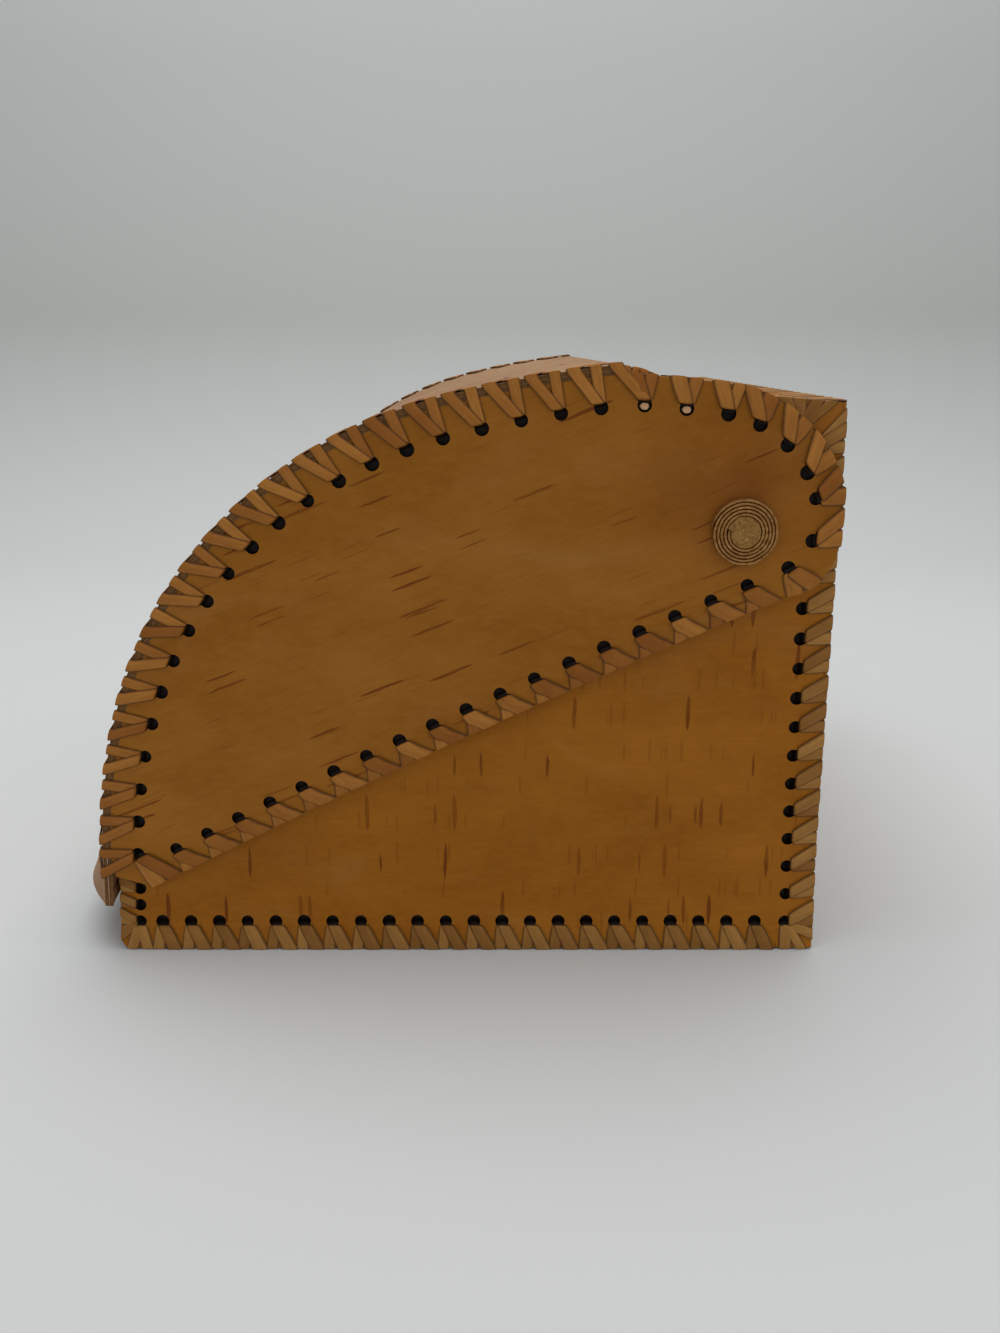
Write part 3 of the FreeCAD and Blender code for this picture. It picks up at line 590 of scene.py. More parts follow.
def ribbons(middles, sides, halves, thicks, outward, tones, depths):
    """Closed bark strips, all at once: a flat profile carried along every strip's line.

    A point is the middle, plus the side times half the width times the profile's first
    number, plus the strip's own normal times its thickness times the second. The normal
    is the cross product of the line's direction and the side, turned to face outwards.
    """
    normals = unit(np.cross(np.gradient(middles, axis=1), sides))
    there = middles.shape[1] // 3
    normals *= np.sign((normals[:, there] * outward).sum(-1))[:, None, None]
    spread = sides[:, :, None] * (halves[:, :, None] * PROFILE[:, 0])[..., None]
    raised = normals[:, :, None] * (thicks[:, :, None] * PROFILE[:, 1])[..., None]
    points = middles[:, :, None] + spread + raised
    shape = points.shape[:3]
    count = np.arange(math.prod(shape)).reshape(shape)
    start = np.roll(count[:, 0, ::-1], 1, axis=-1)
    faces = np.concatenate([patches(count, True), fan(start), fan(count[:, -1])])
    steps = np.diff(middles, axis=1, prepend=middles[:, :1])
    runs = np.cumsum(np.linalg.norm(steps, axis=-1), axis=1)
    along = (runs * 0.1 + 7 * tones[:, None])[..., None]
    lace = np.stack(np.broadcast_arrays(PROFILE[:, 0], along, tones[:, None, None]), -1)
    # The stations marked in depths get painted shadow in the lacing's finish
    sunk = np.broadcast_to(depths[..., None], shape)
    return points.reshape(-1, 3), faces, lace.reshape(-1, 3), sunk.reshape(-1)


# Finishes

class Recipe:
    """A material in the making: each call adds a node and gives its output."""

    def __init__(self, name):
        self.material = bpy.data.materials.new(name)
        self.material.use_nodes = True
        self.nodes = self.material.node_tree.nodes
        self.links = self.material.node_tree.links
        self.shader = self.nodes["Principled BSDF"]
        self.place = self.node("TexCoord", "Object")

    def node(self, kind, output=0, inputs=None, **settings):
        """Add a node with settings and inputs, and give one of its outputs."""
        made = self.nodes.new(f"ShaderNode{kind}")
        for key, value in settings.items():
            setattr(made, key, value)
        for key, value in (inputs or {}).items():
            self.feed(made.inputs[key], value)
        return made.outputs[output]

    def feed(self, socket, value):
        """Link or set one input."""
        if isinstance(value, bpy.types.NodeSocket):
            self.links.new(value, socket)
        elif socket.type == "RGBA":
            socket.default_value = (*value, 1)
        else:
            socket.default_value = value

    def cells(self, along, across, sizes, source=None):
        """Coordinates turned to along, across and their normal, in cells of that size."""
        along, across = Vector(along), Vector(across)
        turned = Matrix((along, across, along.cross(across))).transposed().to_euler()
        scale = [size * MM for size in sizes]
        inputs = {"Vector": source or self.place, "Rotation": turned, "Scale": scale}
        return self.node("Mapping", inputs=inputs, vector_type="TEXTURE")

    def noise(self, cells, detail=3.0, roughness=0.55, distortion=0.0):
        """Soft noise, one wave to a cell, from 0 to 1."""
        inputs = {"Vector": cells, "Scale": 1.0, "Detail": detail, "Roughness": roughness}
        inputs["Distortion"] = distortion
        return self.node("TexNoise", "Fac", inputs)

    def span(self, value, low, high, first=0.0, last=1.0):
        """The value carried from low and high to first and last, held between them."""
        return self.node("MapRange", 0, {0: value, 1: low, 2: high, 3: first, 4: last})

    def sums(self, operation, first, second):
        """Arithmetic on two numbers."""
        return self.node("Math", 0, {0: first, 1: second}, operation=operation)

    def vectors(self, operation, first, second):
        """Arithmetic on two vectors."""
        return self.node("VectorMath", 0, {0: first, 1: second}, operation=operation)

    def on_strip(self, ways):
        """Place across a strip, its tone, and coordinates along it stretched by ways."""
        lace = self.attribute("lace", "Vector")
        across, along, tone = self.node("SeparateXYZ", 0, {0: lace}).node.outputs
        cells = self.node("CombineXYZ", 0, {0: across, 1: along, 2: tone})
        return across, tone, self.vectors("MULTIPLY", cells, ways)

    def mix(self, share, first, second):
        """Two colours blended."""
        return self.node("Mix", 2, {0: share, 6: first, 7: second}, data_type="RGBA")

    def attribute(self, name, output="Fac"):
        """A value stored on the mesh."""
        return self.node("Attribute", output, attribute_name=name)

    def lenses(self, cells, share, breadth, flat):
        """Lens-shaped marks: one in some of the cells, each a little different.

        A cell of the Voronoi pattern has a mark where its random number passes share,
        and the mark's reach grows with that number, from half of breadth to all of it.
        """
        inputs = {"Vector": cells, "Scale": 1.0, "Randomness": 0.85}
        space = "2D" if flat else "3D"
        distance = self.node("TexVoronoi", "Distance", inputs, voronoi_dimensions=space)
        chance = distance.node.outputs["Color"]
        chance = self.node("SeparateColor", 0, {0: chance})
        reach = self.span(chance, share, 1.0, breadth / 2, breadth)
        reach = self.sums("MULTIPLY", reach, self.sums("GREATER_THAN", chance, share))
        return self.span(self.sums("SUBTRACT", reach, distance), 0.0, 0.06)

    def finish(self, colour, roughness, height, depth, specular=0.12):
        """Feed the shader, with a bump of that depth in millimetres."""
        self.feed(self.shader.inputs["Base Color"], colour)
        self.feed(self.shader.inputs["Roughness"], roughness)
        self.feed(self.shader.inputs["Specular IOR Level"], specular)
        inputs = {"Height": height, "Distance": depth * MM, "Strength": 1.0}
        self.feed(self.shader.inputs["Normal"], self.node("Bump", 0, inputs))
        return self.material


def bark_finish(name, colours, family, lens_ways, lens, grain, share, flat, stain=None):
    """Bark: cloudy colour, fine grain, lens-shaped marks, pale rubbed patches, and a painted
    shadow round a button where one is placed.
    """
    light = getattr(colours, f"{family}_light")
    dark = getattr(colours, f"{family}_dark")
    recipe = Recipe(name)
    clouds = recipe.noise(recipe.cells(RIGHT, UP, (46, 30, 46)), 4, 0.6, 0.4)
    clouds = recipe.span(clouds, 0.36, 0.66)
    fine = recipe.noise(recipe.cells(RIGHT, UP, (4.5, 2.2, 4.5)), 6, 0.75)
    colour = recipe.mix(clouds, dark, light)
    streaks = recipe.noise(recipe.cells(*grain, (16, 0.8, 16)), 5, 0.65)
    streaks = recipe.span(streaks, 0.4, 0.68)
    colour = recipe.mix(recipe.sums("MULTIPLY", streaks, 0.45), colour, dark)
    colour = recipe.mix(recipe.span(fine, 0.42, 0.62, 0.0, 0.4), colour, light)
    rubbed = recipe.noise(recipe.cells(RIGHT, UP, (60, 34, 60)), 5, 0.65, 0.8)
    rubbed = recipe.span(rubbed, 0.54, 0.76, 0.0, 0.34)
    colour = recipe.mix(rubbed, colour, colours.bloom)
    wander = recipe.node("TexNoise", "Color", {"Vector": recipe.place, "Scale": 120.0})
    wander = recipe.vectors("MULTIPLY", wander, (0.9 * MM,) * 3)
    bent = recipe.vectors("ADD", wander, recipe.place)
    marks = recipe.lenses(recipe.cells(*lens_ways, lens, bent), share, 0.42, flat)
    faint = [size * ratio for size, ratio in zip(lens, (0.7, 0.6, 0.8))]
    faint = recipe.lenses(recipe.cells(*lens_ways, faint, bent), share, 0.4, flat)
    patch = recipe.span(recipe.noise(recipe.cells(RIGHT, UP, (26, 22, 26))), 0.4, 0.6, 0.55, 1.0)
    strength = recipe.sums("MULTIPLY", marks, patch)
    colour = recipe.mix(recipe.sums("MULTIPLY", faint, 0.3), colour, colours.lens)
    colour = recipe.mix(recipe.sums("MULTIPLY", strength, 0.85), colour, colours.lens)
    # Painted shadow: the bark darkens towards the lenticels' colour round and above the button
    if stain:
        near = recipe.vectors("SUBTRACT", recipe.place, stain)
        near = recipe.vectors("MULTIPLY", near, (0.8, 0, 1))
        near = recipe.node("VectorMath", "Value", {0: near}, operation="LENGTH")
        near = recipe.sums("MULTIPLY", recipe.span(near, 0.004, 0.03, 0.5, 0.0), patch)
        colour = recipe.mix(near, colour, colours.lens)
    height = recipe.sums("MULTIPLY", streaks, 0.25)
    height = recipe.sums("ADD", height, recipe.sums("MULTIPLY", fine, 0.35))
    height = recipe.sums("SUBTRACT", height, recipe.sums("MULTIPLY", strength, 0.5))
    rough = recipe.span(fine, 0.3, 0.7, 0.42, 0.6)
    return recipe.finish(colour, rough, height, 0.16)


def edge_finish(name, colours):
    """The cut edge of a bark sheet: thin layers, light and dark, frayed along."""
    recipe = Recipe(name)
    fray = recipe.noise(recipe.cells(RIGHT, UP, (1.6, 1.6, 1.6)), 4, 0.7)
    layer = recipe.sums("ADD", recipe.attribute("layer"), recipe.sums("MULTIPLY", fray, 0.3))
    inputs = {"W": recipe.sums("MULTIPLY", layer, 7.0), "Scale": 1.0, "Detail": 2.0}
    bands = recipe.node("TexNoise", "Fac", inputs, noise_dimensions="1D")
    shade = recipe.span(bands, 0.38, 0.62)
    colour = recipe.mix(shade, colours.edge_dark, colours.edge_light)
    colour = recipe.mix(recipe.span(fray, 0.45, 0.7, 0.0, 0.5), colour, colours.edge_dark)
    return recipe.finish(colour, 0.75, recipe.sums("ADD", shade, fray), 0.15)


def hole_finish(name, colours):
    """The wall of a punched hole: painted shadow, frayed with the bark's dark layers."""
    recipe = Recipe(name)
    fray = recipe.noise(recipe.cells(RIGHT, UP, (1.1, 1.1, 1.1)), 4, 0.7)
    # Painted shadow in the hole, with specks of the bark's dark layers
    colour = recipe.mix(recipe.span(fray, 0.5, 0.75, 0.0, 0.35), colours.shadow, colours.edge_dark)
    return recipe.finish(colour, 0.85, fray, 0.1, 0.03)


def lace_finish(name, colours, family):
    """Lacing: fibres along each strip, a tone of its own, painted shade along its edges and
    painted shadow at its ends in the holes.
    """
    light = getattr(colours, f"{family}_light")
    dark = getattr(colours, f"{family}_dark")
    recipe = Recipe(name)
    across, tone, fibres = recipe.on_strip((3.2, 1.2, 9.0))
    fibres = recipe.noise(fibres, 6, 0.7, 0.3)
    blotch = recipe.noise(recipe.cells(RIGHT, UP, (7, 7, 7)), 4, 0.6)
    shade = recipe.span(fibres, 0.34, 0.7)
    blotch = recipe.sums("MULTIPLY", blotch, 0.5)
    own = recipe.sums("ADD", recipe.sums("MULTIPLY", tone, 0.6), blotch)
    colour = recipe.mix(recipe.span(own, 0.15, 0.85), dark, light)
    colour = recipe.mix(recipe.sums("MULTIPLY", shade, 0.55), colour, dark)
    # Painted shade: each strip darkens towards its edges, standing in for the shadows between
    # strips
    rim = recipe.node("Math", 0, {0: across}, operation="ABSOLUTE")
    rim = recipe.span(rim, 0.7, 0.96, 0.0, 0.85)
    colour = recipe.mix(rim, colour, colours.edge_dark)
    colour = recipe.mix(recipe.span(tone, 1.2, 2.0, 0.0, 0.8), colour, colours.knot)
    # Painted shadow: strip ends and stitches inside the holes take the shadow colour
    sunk = recipe.span(recipe.attribute("sunk"), 0.22, 0.5)
    colour = recipe.mix(sunk, colour, colours.shadow)
    rough = recipe.span(fibres, 0.3, 0.7, 0.42, 0.66)
    return recipe.finish(colour, rough, fibres, 0.14, 0.16)


def wood_finish(name, colours):
    """Whittled wood: rough fibres seen from their ends."""
    recipe = Recipe(name)
    fibres = recipe.noise(recipe.cells(RIGHT, UP, (0.9, 0.9, 5)), 6, 0.75, 1.2)
    shade = recipe.span(fibres, 0.36, 0.64)
    grain = recipe.noise(recipe.cells(RIGHT, UP, (8, 1.2, 12)), 4, 0.6)
    colour = recipe.mix(shade, colours.wood_dark, colours.wood_light)
    colour = recipe.mix(recipe.span(grain, 0.5, 0.75, 0.0, 0.4), colour, colours.wood_dark)
    return recipe.finish(colour, 0.7, fibres, 0.3)


def roll_finish(name, colours):
    """Rolled bark: rough pale ends and brown faces."""
    recipe = Recipe(name)
    _, tone, fibres = recipe.on_strip((1.3, 1.6, 1.0))
    fibres = recipe.noise(fibres, 6, 0.75, 0.6)
    chips = recipe.noise(recipe.cells(RIGHT, UP, (1.5, 1.5, 1.5)), 5, 0.7)
    shade = recipe.span(recipe.sums("ADD", fibres, chips), 0.8, 1.2)
    pale = recipe.mix(shade, colours.roll_dark, colours.roll_light)
    faces = recipe.mix(shade, colours.wood_dark, colours.roll_dark)
    colour = recipe.mix(recipe.span(tone, 0.9, 1.0), faces, pale)
    return recipe.finish(colour, 0.72, recipe.sums("ADD", fibres, chips), 0.05)


def finishes(context):
    """A way to get finishes by their names, each made at its first use."""
    names = BarkColours.__annotations__
    colours = {name: tuple(getattr(context.scene.bark_colours, name)) for name in names}
    colours = SimpleNamespace(**colours)
    slope = math.radians(22)
    lid_ways = ((math.cos(slope), 0, math.sin(slope)), (-math.sin(slope), 0, math.cos(slope)))
    # The middle of the painted shadow round and above the lid's button, 3 mm ahead of the pivot
    # and 14 mm above it
    stain = tuple(spatial(plan(context).pivot + [-3, 14]) * MM)
    # A bark: its colours, ways and cells of its marks, ways of its grain, the share of the cells
    # without a mark, whether the marks lie flat on one side, and for the lid the middle of its
    # painted shadow
    makers = {
        "lid_bark": (
            bark_finish, "lid", lid_ways, (22, 1.35, 60), lid_ways, 0.94, True, stain),
        "side_bark": (
            bark_finish, "box", (UP, RIGHT), (17, 2.0, 60), (RIGHT, UP), 0.92, True),
        "cross_bark": (
            bark_finish, "box", (BACK, RIGHT), (22, 3, 3), (BACK, UP), 0.86, False),
        "cover_bark": (
            bark_finish, "cover", (BACK, UP), (24, 3, 3), (BACK, UP), 0.86, False),
        "lid_lace": (lace_finish, "strip"),
        "box_lace": (lace_finish, "crown"),
        "bark_edge": (edge_finish,),
        "hole_wall": (hole_finish,),
        "whittled_wood": (wood_finish,),
        "rolled_bark": (roll_finish,),
    }

    def make(name):
        maker, *own = makers[name]
        return maker(name, colours, *own)

    def pick(*names):
        return [bpy.data.materials.get(name) or make(name) for name in names]

    return pick


# Lacing

# Shares of the neck's and of the full width, from inside a hole to the corner
NARROW = np.array([0.85, 0.95, 0.25, 0.0, 0.0])
BROAD = np.array([0.0, 0.0, 0.7, 0.99, 1.0])
# A strip's first three stations from its hole's middle, in millimetres, and its fourth
# as a share of the way to the corner
NEAR_HOLE = np.array([0.6, 1.25, 2.05])
ON_THE_WAY = 0.55
# Heights of the first two of these stations, which lie inside the hole
SUNK = (-2.3, -0.8)
HEM_SUNK = (-0.75, -0.5)
# Heights of the others inside a hem, and how far each station gives way to its bend
HEM_INSIDE = (0.2, 0.12, 0.1)
SWAY = np.array([0, 0.1, 0.6, 1.0, 0.3])
# How far a strip's fifth station stops short of the corner, and of a hem's rim
SHORT = 0.9
HEM_SHORT = 0.7
# How far the strips stray along their edge, either way, and their widths in shares
STRAY = 0.4
WIDTHS = (0.94, 1.06)


def legs(holes, knees, short):
    """Stations of strips from their holes towards the corner, the last one short of it."""
    way = knees - holes
    reach = np.linalg.norm(way, axis=-1)[:, None]
    shares = np.concatenate([NEAR_HOLE / reach, ON_THE_WAY + 0 * reach, 1 - short / reach], 1)
    return holes[:, None] + way[:, None] * shares[..., None]


def strips(middles, along, face, share, thicks, lace, draw):
    """What ribbons needs for strips that are narrow in their holes and broad between."""
    count, stations = middles.shape[:2]
    width = share * lace.strip / 2 * draw.uniform(*WIDTHS, (count, 1))
    half = lace.neck / 2 * NARROW + width * BROAD
    over = np.repeat(width, stations - 10, axis=1)
    halves = np.concatenate([half, over, half[:, ::-1]], 1)
    sides = np.repeat(along[:, None], stations, axis=1)
    depths = np.zeros((count, stations))
    # The stations inside the holes get painted shadow
    depths[:, [0, 1, -2, -1]] = 1.0
    tones = draw.uniform(0, 1, count)
    return middles, sides, halves, np.tile(thicks, (count, 1)), face, tones, depths


def lay_strips(at, spots, insets, slants, lays, lace, seed, mean=None):
    """Strips over a laced corner, with the holes of both sheets.

    Every strip runs through eleven stations: out of a hole of the first sheet, up to
    its face, along to the corner, over it, and the same way down into the second sheet.
    Each lay gives the heights over the first sheet at the hole, on the way and at the
    corner, and the same for the second sheet in reverse, and the two thicknesses. The
    second sheet's holes lie further along by the mean slant.
    """
    draw = np.random.default_rng(seed)
    spots = np.asarray(spots, float)
    mean = sum(slants) / len(slants) if mean is None else mean
    point, _, hole_face, hole_edge = at(spots)
    holes = point - hole_edge * insets[0]
    point, _, back_face, back_edge = at(spots + mean)
    backs = point - back_face * insets[1]
    parts = []
    for slant, (rises, (thick_face, thick_edge), share) in zip(slants, lays):
        shift = draw.uniform(-STRAY, STRAY, len(spots))
        knee, along, face, edge = at(spots + slant + shift)
        up_first = np.array([*SUNK, *rises[:3]])[:, None]
        up_second = np.array([*SUNK, *rises[:2:-1]])[:, None]
        first = legs(holes, knee, SHORT) + face[:, None] * up_first
        second = legs(backs, knee, SHORT) + edge[:, None] * up_second
        top = knee + face * rises[2] + edge * rises[3]
        middles = np.concatenate([first, top[:, None], second[:, ::-1]], 1)
        over = (thick_face + thick_edge) / 2 + 0.9 * max(0, thick_edge - 0.4)
        thicks = [thick_face] * 5 + [over] + [thick_edge] * 5
        parts.append(strips(middles, along, face, share, thicks, lace, draw))
    return parts, (holes, hole_face), (backs, back_edge)


def lay_hems(at, spots, inset, slants, lifts, bark, lace, seed, bend=0.0):
    """Strips round a free edge: out of a hole, over both rims, back to the hole inside."""
    draw = np.random.default_rng(seed)
    spots = np.asarray(spots, float)
    point, _, hole_face, hole_edge = at(spots)
    holes = point - hole_edge * inset
    inside = np.array([*HEM_SUNK, *HEM_INSIDE])[:, None] + bark
    parts = []
    for slant, (*rises, rim, share) in zip(slants, lifts):
        shift = draw.uniform(-STRAY, STRAY, len(spots))
        knee, along, face, edge = at(spots + slant + shift)
        sway = SWAY[:, None] * bend * np.sign(slant or 1)
        leg = legs(holes, knee, HEM_SHORT) - along[:, None] * sway
        outer = leg + face[:, None] * np.array([*HEM_SUNK, *rises])[:, None]
        over = knee + face * (rises[2] - 0.05) + edge * rim
        under = knee - face * (bark + 0.05) + edge * rim
        inner = (leg - face[:, None] * inside)[:, ::-1]
        middles = np.concatenate([outer, over[:, None], under[:, None], inner], 1)
        thicks = [lace.thickness] * 6 + [0.4] * 6
        parts.append(strips(middles, along, face, share, thicks, lace, draw))
    return parts, (holes, hole_face)


def lay_stitches(holes, face, depth, lace, seed):
    """Strips on the inner face of a sheet, from over each hole to over the next."""
    draw = np.random.default_rng(seed)
    first, last = holes[:-1], holes[1:]
    count = len(first)
    span = np.linalg.norm(last - first, axis=-1)[:, None]
    near, far = np.array([-2.4, 2.1, 2.7]), np.array([-2.7, -2.1, 2.4])
    shares = np.concatenate([near / span, np.full((count, 1), 0.5), 1 + far / span], 1)
    rises = depth + np.array([0.05, 0.05, 0.1, 0.3, 0.5, 0.52, 0.52])
    middles = first[:, None] + (last - first)[:, None] * shares[..., None]
    middles = middles - face[:-1, None] * rises[:, None]
    across = unit(np.cross(last - first, face[:-1]))
    middles = middles + across[:, None] * draw.uniform(-0.25, 0.25, (count, 1, 1))
    halves = lace.hole / 2 * np.array([1.1, 1.2, 1.2, 1.2, 1.2, 1.2, 1.1])
    halves = halves * draw.uniform(*WIDTHS, (count, 1))
    thicks = np.full((count, 7), 0.45)
    sides = np.repeat(across[:, None], 7, axis=1)
    # The stations over the holes get painted shadow
    depths = np.tile([1.0, 1.0, 0, 0, 0, 1.0, 1.0], (count, 1))
    return middles, sides, halves, thicks, -face[:-1], draw.uniform(0, 1, count), depths


def lay_knots(holes, face, along, seed):
    """Pale rounded ends of strips that show in their holes."""
    draw = np.random.default_rng(seed)
    count = len(holes)
    shares = np.array([-1.0, -0.6, 0.0, 0.6, 1.0])
    middles = holes[:, None] + along[:, None] * (1.15 * shares[:, None])
    middles = middles + face[:, None] * (-1.0 + 0.8 * np.sqrt(1.05 - shares[:, None] ** 2))
    middles = middles - UP * 0.35
    halves = np.tile(1.05 * np.sqrt(1.05 - shares**2), (count, 1))
    sides = np.repeat(np.cross(along, face)[:, None], 5, axis=1)
    thicks = np.tile(0.35 + 0.3 * (1 - shares**2), (count, 1))
    return middles, sides, halves, thicks, face, draw.uniform(2.2, 2.6, count), 0 * halves


def lacing_piece(name, parts, finish, body, mould):
    """One run of lacing, of strips of every lay, as a piece."""
    made = [ribbons(*part) for part in parts]
    before = np.cumsum([0] + [len(points) for points, *_ in made])
    faces = [face_outward(points, quads) + start
             for (points, quads, *_), start in zip(made, before)]
    points, _, lace, sunk = (np.concatenate(values) for values in zip(*made))
    thing = new_mesh(f"{name}_strips", mould(points), np.concatenate(faces), finish, None,
                     {"lace": lace, "sunk": sunk})
    finish_piece(thing, body, "bark_lacing", name)


# Heights over the sheets, in millimetres: first sheet at the hole, on the way and at
# the corner, then second sheet at the corner, on the way and at the hole; thicknesses;
# width as a share of a strip's. A hem: first sheet, over the rim, and the width
BOX_UNDER = ((0.15, 0.1, 0.06, 0.04, 0.05, 0.05), (0.5, 0.25), 0.78)
BOX_OVER = ((0.5, 0.42, 0.3, 0.14, 0.28, 0.28), (0.5, 0.25), 0.98)
FLAT_UNDER = ((0.08, 0.06, 0.05, 0.03, 0.03, 0.03), (0.45, 0.4), 1.0)
CROWN_UNDER = ((0.2, 0.2, 0.2, 0.3, 0.2, 0.1), (0.5, 0.55), 1.0)
FRONT_UNDER = ((0.15, 0.1, 0.06, 0.04, 0.05, 0.05), (0.45, 0.4), 0.55)
FRONT_OVER = ((0.5, 0.42, 0.3, 0.3, 0.28, 0.28), (0.45, 0.4), 0.62)
COVER_UNDER = ((0.2, 0.14, 0.2, 0.25, 0.15, 0.15), (0.55, 0.5), 0.7)
COVER_OVER = ((0.8, 0.6, 0.4, 0.4, 0.4, 0.4), (0.55, 0.5), 0.8)
HEM_UNDER = (0.2, 0.14, 0.1, 0.12, 0.95)
HEM_OVER = (0.8, 0.62, 0.3, 0.2, 1.3)
REAR_UNDER = (0.2, 0.14, 0.1, 0.05, 1.0)
REAR_OVER = (0.8, 0.62, 0.3, 0.1, 1.08)
TOE_UNDER = (0.2, 0.14, 0.1, 0.12, 1.2)
TOE_OVER = (0.8, 0.62, 0.3, 0.2, 1.2)
HEM_BACK = (0.2, 0.14, 0.1, 0.12, 0.78)
HEM_AHEAD = (0.8, 0.62, 0.3, 0.2, 1.0)


class Lacing:
    """Every run of lacing, by its name: body and strips; and the holes of every sheet."""

    def __init__(self, plans):
        self.plans = plans
        self.runs = {}
        self.holes = {}
        for name, out in OUTS:
            self.lace_box_side(name, out)
        self.lace_across()
        for name, out in OUTS:
            self.lace_cover(name, out)
            self.lace_lid_side(name, out)

    def corner(self, label, body, at, spots, sheets, insets, slants, lays, extras=()):
        """Lace the corner of two sheets.

        Each extra is a place along the corner, whose hole has more strips, and how far
        each of those slants.
        """
        lace = self.plans.lace
        seed = len(self.runs) + 11
        parts, *both = lay_strips(at, spots, insets, slants, lays, lace, seed)
        mean = sum(slants) / len(slants)
        for place, steps in extras:
            lay = lays[:1] * len(steps)
            parts += lay_strips(at, [place], insets, steps, lay, lace, seed + 50, mean)[0]
        for sheet, holes in zip(sheets, both):
            self.holes.setdefault(sheet, []).append(holes)
            if sheet != "cover_outer":
                depth = getattr(self.plans, body).panel
                parts.append(lay_stitches(*holes, depth, lace, seed + 70))
        self.runs[label] = (body, parts)

    def lace_box_side(self, name, out):
        """The foot, the rear, the front and the top of one side of the box."""
        plans, box, lace = self.plans, self.plans.box, self.plans.lace
        pitch, slant = lace.box_pitch, lace.box_slant
        room, inset = lace.corner_room, lace.box_inset
        foot_reach = box.front_reach + box.rear_reach
        rear_reach = np.linalg.norm(plans.crown - plans.foot_rear)
        top_reach = np.linalg.norm(plans.brow - plans.crown)
        foot = even_places(foot_reach, pitch, room, lace.foot_room)
        rear = even_places(rear_reach, pitch, inset, room)
        front = even_places(box.wall_height, lace.front_pitch, inset, lace.front_room)
        top = even_places(top_reach, pitch, room, inset)
        for run, sheet, start, along, edge, spots, slants, extras in (
            ("foot", "base_panel", plans.foot_front, RIGHT, -UP, foot, (-0.8, slant),
             ((lace.front_inset, (-2.4, 2.4)), (foot_reach - inset, (0.2, 5.2)))),
            ("rear", "rear_panel", plans.foot_rear, spatial(plans.rise), plans.rear_out,
             rear, (0.6, slant + 0.6), ((rear[0], (-4.3,)), (rear[-1], (9.6,)))),
            ("front", "front_wall", plans.foot_front, UP, -RIGHT, front, (0.2, 2.9),
             ((front[0], (-2.8, -5.4)),)),
            ("top", "top_panel", plans.crown, spatial(plans.ahead), plans.top_out,
             top, (0.2, slant), ((top[0], (-9.4, -4.6)),)),
        ):
            at = straight(spatial(start, out * box.side_face), along, out * BACK, edge)
            narrow = run == "front"
            lays = (FRONT_UNDER, FRONT_OVER) if narrow else (BOX_UNDER, BOX_OVER)
            insets = (lace.front_inset if narrow else inset, inset)
            self.corner(f"lacing_{run}_{name}", "box", at, spots,
                        (f"side_panel_{name}", sheet), insets, slants, lays, extras)

    def lace_across(self):
        """The foot of the front, the foot of the rear, and the crown of the rear."""
        plans, box, lace = self.plans, self.plans.box, self.plans.lace
        room, inset = lace.corner_room, lace.box_inset
        spots = even_places(2 * box.side_face, lace.box_pitch, room, room)
        extras = ((spots[0], (-4.6, -9.4)), (spots[-1], (10.2,)))
        for label, place, face, edge, sheets, lay in (
            ("foot_front", plans.foot_front, -RIGHT, -UP, ("front_wall", "base_panel"),
             FLAT_UNDER),
            ("foot_rear", plans.foot_rear, plans.rear_out, -UP, ("rear_panel", "base_panel"),
             FLAT_UNDER),
            ("crown", plans.crown, plans.rear_out, plans.top_out,
             ("rear_panel", "top_panel"), CROWN_UNDER),
        ):
            at = straight(spatial(place, -box.side_face), BACK, face, edge)
            self.corner(f"lacing_{label}", "box", at, spots, sheets, (inset, inset),
                        (lace.box_slant,), (lay,), extras)

    def lace_cover(self, name, out):
        """The cover's edge on one side, with one long strip over the cover's rear end."""
        lid, lace, rim = self.plans.lid, self.plans.lace, self.plans.rims["outer"]
        at = curved(rim, out * lid.width / 2)
        spots = even_places(rim.length, lace.cover_pitch, lace.cover_room, lace.cover_end)
        insets = (lace.cover_inset, lace.box_inset)
        slants = (0.6, lace.cover_slant)
        label = f"lacing_cover_{name}"
        self.corner(label, "lid", at, spots, (f"lid_side_{name}", "cover_outer"),
                    insets, slants, (COVER_UNDER, COVER_OVER))
        mean = lace.top_room + lace.cover_room + sum(slants) / 2
        over_end = lay_strips(at, [-lace.top_room], insets, (lace.top_room + 2,),
                              (COVER_OVER,), lace, 61, mean)
        self.runs[label][1].extend(over_end[0])

